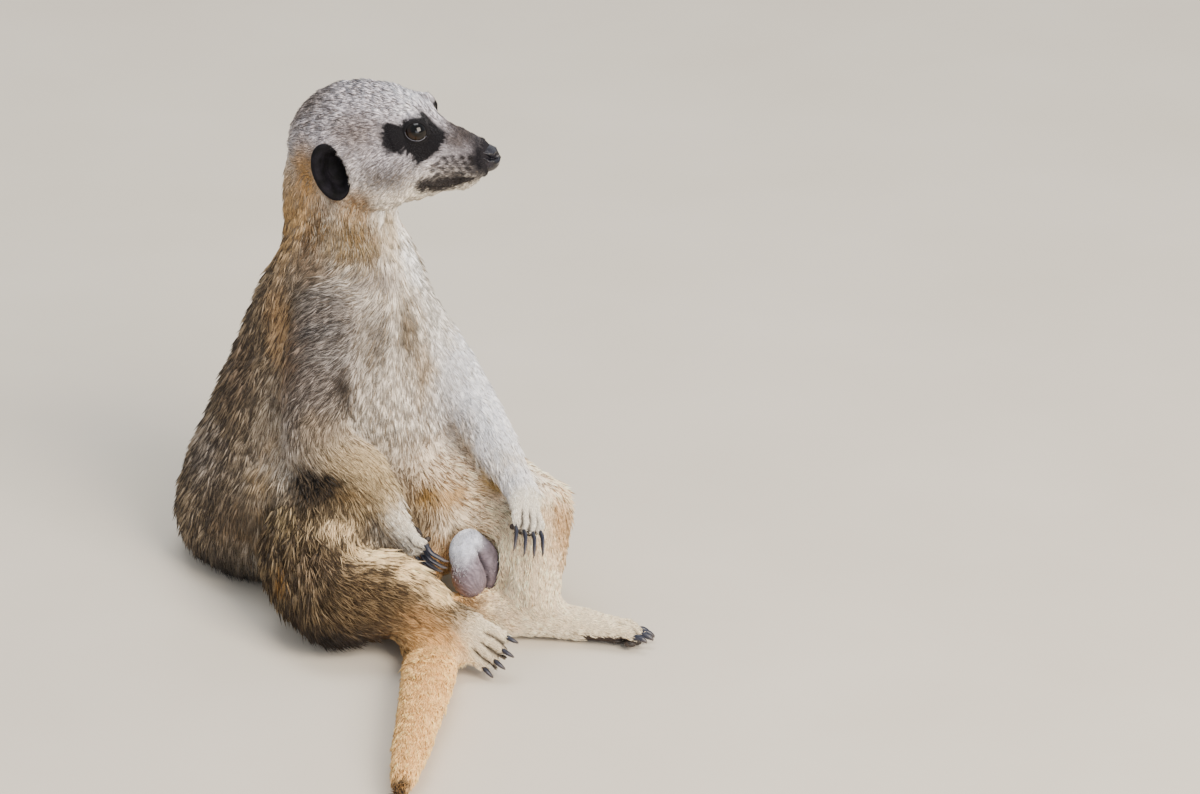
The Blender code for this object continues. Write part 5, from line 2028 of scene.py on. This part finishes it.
@dataclass
class Coat:
    """The fur as solid tufts: each a closed sliver of four faces rooted in the skin, bent along the body."""

    hide: Hide
    budget: int = 366000
    most_in_piece: int = 49000
    patch: float = 0.003
    seed: int = 7
    down: int = 2400
    root_depth: float = 0.35
    bend: float = 0.42
    above_floor: float = 0.12

    def build(self) -> list[bpy.types.Object]:
        """Scatters roots over the hide by density, and grows each group's tufts in pieces of a limited size.

        Returns:
            The coat's objects.
        """
        hide, rng = self.hide, np.random.default_rng(self.seed)
        a, b, c = (hide.points[hide.faces[:, i]] for i in range(3))
        area = np.linalg.norm(np.cross(b - a, c - a), axis=1) / 2
        middle = (a + b + c) / 3
        owner = hide.skeleton.bone[hide.skeleton.nearest(middle)]
        density = hide.rows[:, DENSITY] * hide.growth(hide.points, hide.normals)
        share = area * density[hide.faces].mean(1)
        share *= self.budget / share.sum()
        names = [bone.name for bone in hide.skeleton.lengths]
        finish = Fur("guard_hair", 0.58, 0.35).make()
        made = []
        for group in COAT_GROUPS:
            mine = np.flatnonzero(np.isin(owner, [names.index(name) for name in group.bones]))
            count = int(share[mine].sum())
            chosen = mine[np.searchsorted(np.cumsum(share[mine]), rng.uniform(0, share[mine].sum(), count))]
            first, second = np.sqrt(rng.uniform(size=count)), rng.uniform(size=count)
            weights = np.stack((1 - first, first * (1 - second), first * second), -1)[..., None]
            corners = hide.faces[chosen]
            roots = (hide.points[corners] * weights).sum(1)
            normals = unit((hide.normals[corners] * weights).sum(1))
            rows = (hide.rows[corners] * weights).sum(1)
            sheet = hide.skeleton.unwrap(roots, list(group.bones))
            order = np.argsort(sheet[:, 1], kind="stable")
            parts = np.array_split(order, max(1, math.ceil(count / self.most_in_piece)))
            for number, part in enumerate(parts, 1):
                name = group.name if len(parts) == 1 else f"{group.name}_{number}"
                placed = sheet[part]
                low, high = placed[:, 1].min(), placed[:, 1].max()
                placed[:, 1] = (placed[:, 1] - low) / max(high - low, 1e-6) * (0.99 - self.patch)
                piece = self.grow(name, roots[part], normals[part], rows[part], placed, rng, group.slot)
                piece.data.materials.append(finish)
                made.append(piece)
        return made

    def velvet(self, scrotum: Scrotum) -> bpy.types.Object:
        """Short pale down over the scrotum's root and sides, thinning out on the bare lobes.

        Args:
            scrotum: what it grows on.

        Returns:
            The down's object.
        """
        rng = np.random.default_rng(self.seed + 1)
        points, faces = scrotum.surface()
        faces = halved(faces)
        normals = corner_normals(points, faces)
        local = (points - spot(*scrotum.middle)) @ TRUNK_AXES.T
        share = ease((local[:, 2] - 3.0 - 1.1 * local[:, 1]) / 11.0) * (local[:, 0] > -6)
        a, b, c = (points[faces[:, i]] for i in range(3))
        weight = np.linalg.norm(np.cross(b - a, c - a), axis=1) * (share[faces].mean(1) ** 1.4 + 0.004)
        chosen = rng.choice(len(faces), self.down, p=weight / weight.sum())
        mix = rng.dirichlet((1, 1, 1), self.down)[..., None]
        roots = (points[faces[chosen]] * mix).sum(1)
        rows = np.tile(np.concatenate((VELVET.row(), (-0.2, 0.0, -1.0))), (self.down, 1))
        corner = faces[chosen, 0]
        sheet = (local[corner][:, 1:] + 16) / 33
        made = self.grow("coat_scrotum", roots, unit(normals[corner]), rows, sheet, rng, "bare_grey_skin")
        made.data.materials.append(Fur("belly_down", 0.7, 0.2).make())
        return made

    def grow(
        self, name: str, roots: Array, normals: Array, rows: Array, sheet: Array, rng: Chance, slot: str
    ) -> bpy.types.Object:
        """Grows one piece's tufts.

        A tuft is a root point, two corners at its widest, and a tip, with its ridge along the bend. It leaves
        the skin at its lift, then bends down to lie along the body; neighbours lean together where a slow
        ripple turns them, which draws locks.

        Args:
            name: the piece's name.
            roots: where tufts leave the skin.
            normals: the skin's outward directions there.
            rows: coat rows there.
            sheet: each root's place on the unwrapped skin.
            rng: the seeded source of chance.
            slot: the record's material slot.

        Returns:
            The coat piece.
        """
        count = len(roots)
        lock, clump = Ripple(7.0, 31).at(roots), Ripple(3.2, 32).at(roots)
        wave, patchy = Ripple(4.2, 33).at(roots), Ripple(2.4, 34).at(roots)
        lie = unit(rows[:, WAY])
        lie = unit(lie - (lie * normals).sum(1)[:, None] * normals)
        across = np.cross(normals, lie)
        sway = 0.11 * lock + 0.09 * wave + rng.normal(0, 1, count) * (0.07 + 0.24 * rows[:, TICKING])
        lie = unit(lie * np.cos(sway)[:, None] + across * np.sin(sway)[:, None])
        length = rows[:, LENGTH] * np.clip(1 + 0.12 * clump + rng.normal(0, 0.20, count), 0.45, 1.7)
        lift = np.radians(rows[:, LIFT]) * np.clip(1 + 0.22 * clump + rng.normal(0, 0.28, count), 0.3, 2.2)
        first = lie * np.cos(lift * 1.4)[:, None] + normals * np.sin(lift * 1.4)[:, None]
        second = lie * np.cos(lift * 0.55)[:, None] + normals * np.sin(lift * 0.55)[:, None]
        second = unit(second + np.array((0, 0, -1.0)) * rows[:, DROOP][:, None])
        middle = roots + first * (length * self.bend)[:, None]
        tip = middle + second * (length * (1 - self.bend))[:, None]
        side = unit(np.cross(normals, lie))
        wide = (rows[:, WIDTH] * rng.uniform(0.75, 1.3, count) * 0.5)[:, None]
        sunk = roots - normals * self.root_depth
        corners = np.stack((sunk, middle + side * wide, middle - side * wide, tip), 1)
        corners[..., 2] = np.maximum(corners[..., 2], self.above_floor)
        pattern = np.array(((0, 1, 2), (3, 2, 1), (0, 3, 1), (0, 2, 3)))
        faces = (np.arange(count)[:, None, None] * 4 + pattern).reshape(-1, 3)
        made = make_piece(name, corners.reshape(-1, 3), faces, slot)
        paint(made, "tone", self.tones(rows, clump, patchy, rng).reshape(-1, 3))
        shape = np.array(((0.5, 0.0), (0.0, 0.45), (1.0, 0.45), (0.5, 1.0))) * self.patch
        places = sheet[:, None] * (1 - self.patch) + shape
        lay_map(made, places.reshape(-1, 2), "OFBake")
        return made

    def tones(self, rows: Array, clump: Array, patchy: Array, rng: Chance) -> Array:
        """A colour for each tuft's four corners: dark at the root, banded, and some tufts dark throughout.

        Args:
            rows: coat rows.
            clump: a slow ripple.
            patchy: a ripple that gathers dark tufts.
            rng: the seeded source of chance.

        Returns:
            Four linear colours for each tuft.
        """
        count = len(rows)
        ground, guard, ticking, width = rows[:, GROUND], rows[:, GUARD], rows[:, TICKING], rows[:, WIDTH]
        gathered = ticking * (1 + 0.6 * patchy * ease((width - 0.13) / 0.1))
        dark = rng.uniform(size=count) < np.clip(gathered, 0, 0.92)
        body = np.where(dark[:, None], ground * 0.16 + guard * 0.84, ground)
        body = body * np.clip(1 + 0.06 * clump + rng.normal(0, 0.12, count), 0.6, 1.5)[:, None]
        # Darker root: partly the under-fur, partly painted shade in the coat, less for pale fur that light
        # passes into.
        root = body * (0.42 + 0.5 * ground.mean(1))[:, None] + guard * 0.08
        pale = np.clip(body * (1.08 + 0.35 * ticking)[:, None] + 0.01, 0, 1)
        tip = np.where(dark[:, None], body * 0.85, mixed(pale, guard, np.clip(ticking * 0.2, 0, 1)))
        return np.clip(np.stack((root, body, body, tip), 1), 0, 1)


# ---- floor, lights and camera ----
@dataclass(frozen=True)
class Studio:
    """A plain pale floor, soft daylight from above and to the right, and the camera at the set view."""

    aim: Place = (0.07552, 0.05112, 0.0865)
    away: float = 2.6
    elevation: float = 22.0
    lens: float = 195.0

    def build(self) -> None:
        """Makes the floor, the lights and the camera."""
        floor = bpy.data.meshes.new("studio_floor")
        floor.from_pydata([(-4, -4, 0), (4, -4, 0), (4, 4, 0), (-4, 4, 0)], [], [(0, 1, 2, 3)])
        ground = bpy.data.objects.new("studio_floor", floor)
        bpy.context.scene.collection.objects.link(ground)
        # Brushed plaster: pale and matt, a little uneven in patches a hand wide.
        floor.materials.append(Mottled("studio_plaster", 0.9, 0.2).make())
        self.lamp("key", (1.0, -1.35, 1.25), 1.1, 72.0, "#fff2e2")
        self.lamp("fill", (0.4, -1.7, 0.35), 1.2, 16.0, "#f6f6ff")
        self.lamp("top", (-0.1, 0.6, 1.6), 1.0, 16.0, "#ffffff")
        world = bpy.data.worlds.new("studio_sky")
        world.use_nodes = True
        world.node_tree.nodes["Background"].inputs["Color"].default_value = shades("#eef1f5")
        world.node_tree.nodes["Background"].inputs["Strength"].default_value = 0.8
        bpy.context.scene.world = world
        tilt = math.radians(self.elevation)
        lens = bpy.data.cameras.new("camera")
        lens.lens, lens.sensor_width = self.lens, 36.0
        lens.clip_start, lens.clip_end = 0.1, 20.0
        camera = bpy.data.objects.new("camera", lens)
        x, y, z = self.aim
        camera.location = (x, y - self.away * math.cos(tilt), z + self.away * math.sin(tilt))
        camera.rotation_euler = (math.pi / 2 - tilt, 0, 0)
        bpy.context.scene.collection.objects.link(camera)
        bpy.context.scene.camera = camera

    def lamp(self, name: str, place: Place, size: float, power: float, code: str) -> None:
        """A square soft light that faces the animal.

        Args:
            name: its name.
            place: where it hangs, in metres.
            size: its side, in metres.
            power: in watts.
            code: its colour.
        """
        light = bpy.data.lights.new(name, "AREA")
        light.size, light.energy, light.color = size, power, linear(code)
        made = bpy.data.objects.new(name, light)
        made.location = place
        way = np.array((0.0, 0.0, 0.09)) - np.array(place)
        pitch = math.atan2(math.hypot(way[0], way[1]), -way[2])
        made.rotation_euler = (pitch, 0, math.atan2(way[1], way[0]) - math.pi / 2)
        bpy.context.scene.collection.objects.link(made)


def paw_set() -> tuple[Paw, ...]:
    """The four paws where the drawing puts them.

    Returns:
        The paws.
    """
    laid = (
        ("hand_right", WRIST_RIGHT, 11, (0.62, -0.29, -0.73), (-0.65, -0.64, -0.25), FORE_TOES),
        ("hand_left", WRIST_LEFT, 11, (0.14, -0.88, -0.45), (0.45, -0.5, 0.72), FORE_TOES),
        ("foot_right", ANKLE_RIGHT, 15.5, (0.71, -0.63, -0.31), (-0.35, -0.76, 0.56), HIND_TOES),
        ("foot_left", (114, 4, 5.3), 0, (0.99, -0.10, -0.04), (0.0, 0.2, 0.98), HIND_TOES),
    )
    return tuple(
        Paw(name, spot(*joint) + unit(np.array(ahead)) * reach, ahead, back, toes)
        for name, joint, reach, ahead, back, toes in laid
    )


def main() -> None:
    """Builds the hide, the fine pieces, the coat and the studio, and writes how big the model is."""
    logging.basicConfig(level=logging.INFO, format="%(message)s")
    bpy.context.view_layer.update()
    eyes, ears, paws = tuple(Eye(side) for side in Side), tuple(Ear(side) for side in Side), paw_set()
    hide = Hide(Skeleton(bones()), eyes, ears, paws, Colouring())
    made = [hide.build()]
    LOG.info("hide: %d triangles", len(hide.faces))
    for part in (*eyes, *paws):
        made += part.build()
    made += [*(ear.build() for ear in ears), NOSE.build(), SCROTUM.build(), Whiskers().build(hide)]
    coat = Coat(hide)
    made += [*coat.build(), coat.velvet(SCROTUM)]
    total = 0
    for piece in made:
        piece.data.calc_loop_triangles()
        total += len(piece.data.loop_triangles)
        LOG.info("%s: %d triangles", piece.name, len(piece.data.loop_triangles))
    LOG.info("in all: %d triangles", total)
    Studio().build()


if __name__ == "__main__":
    main()
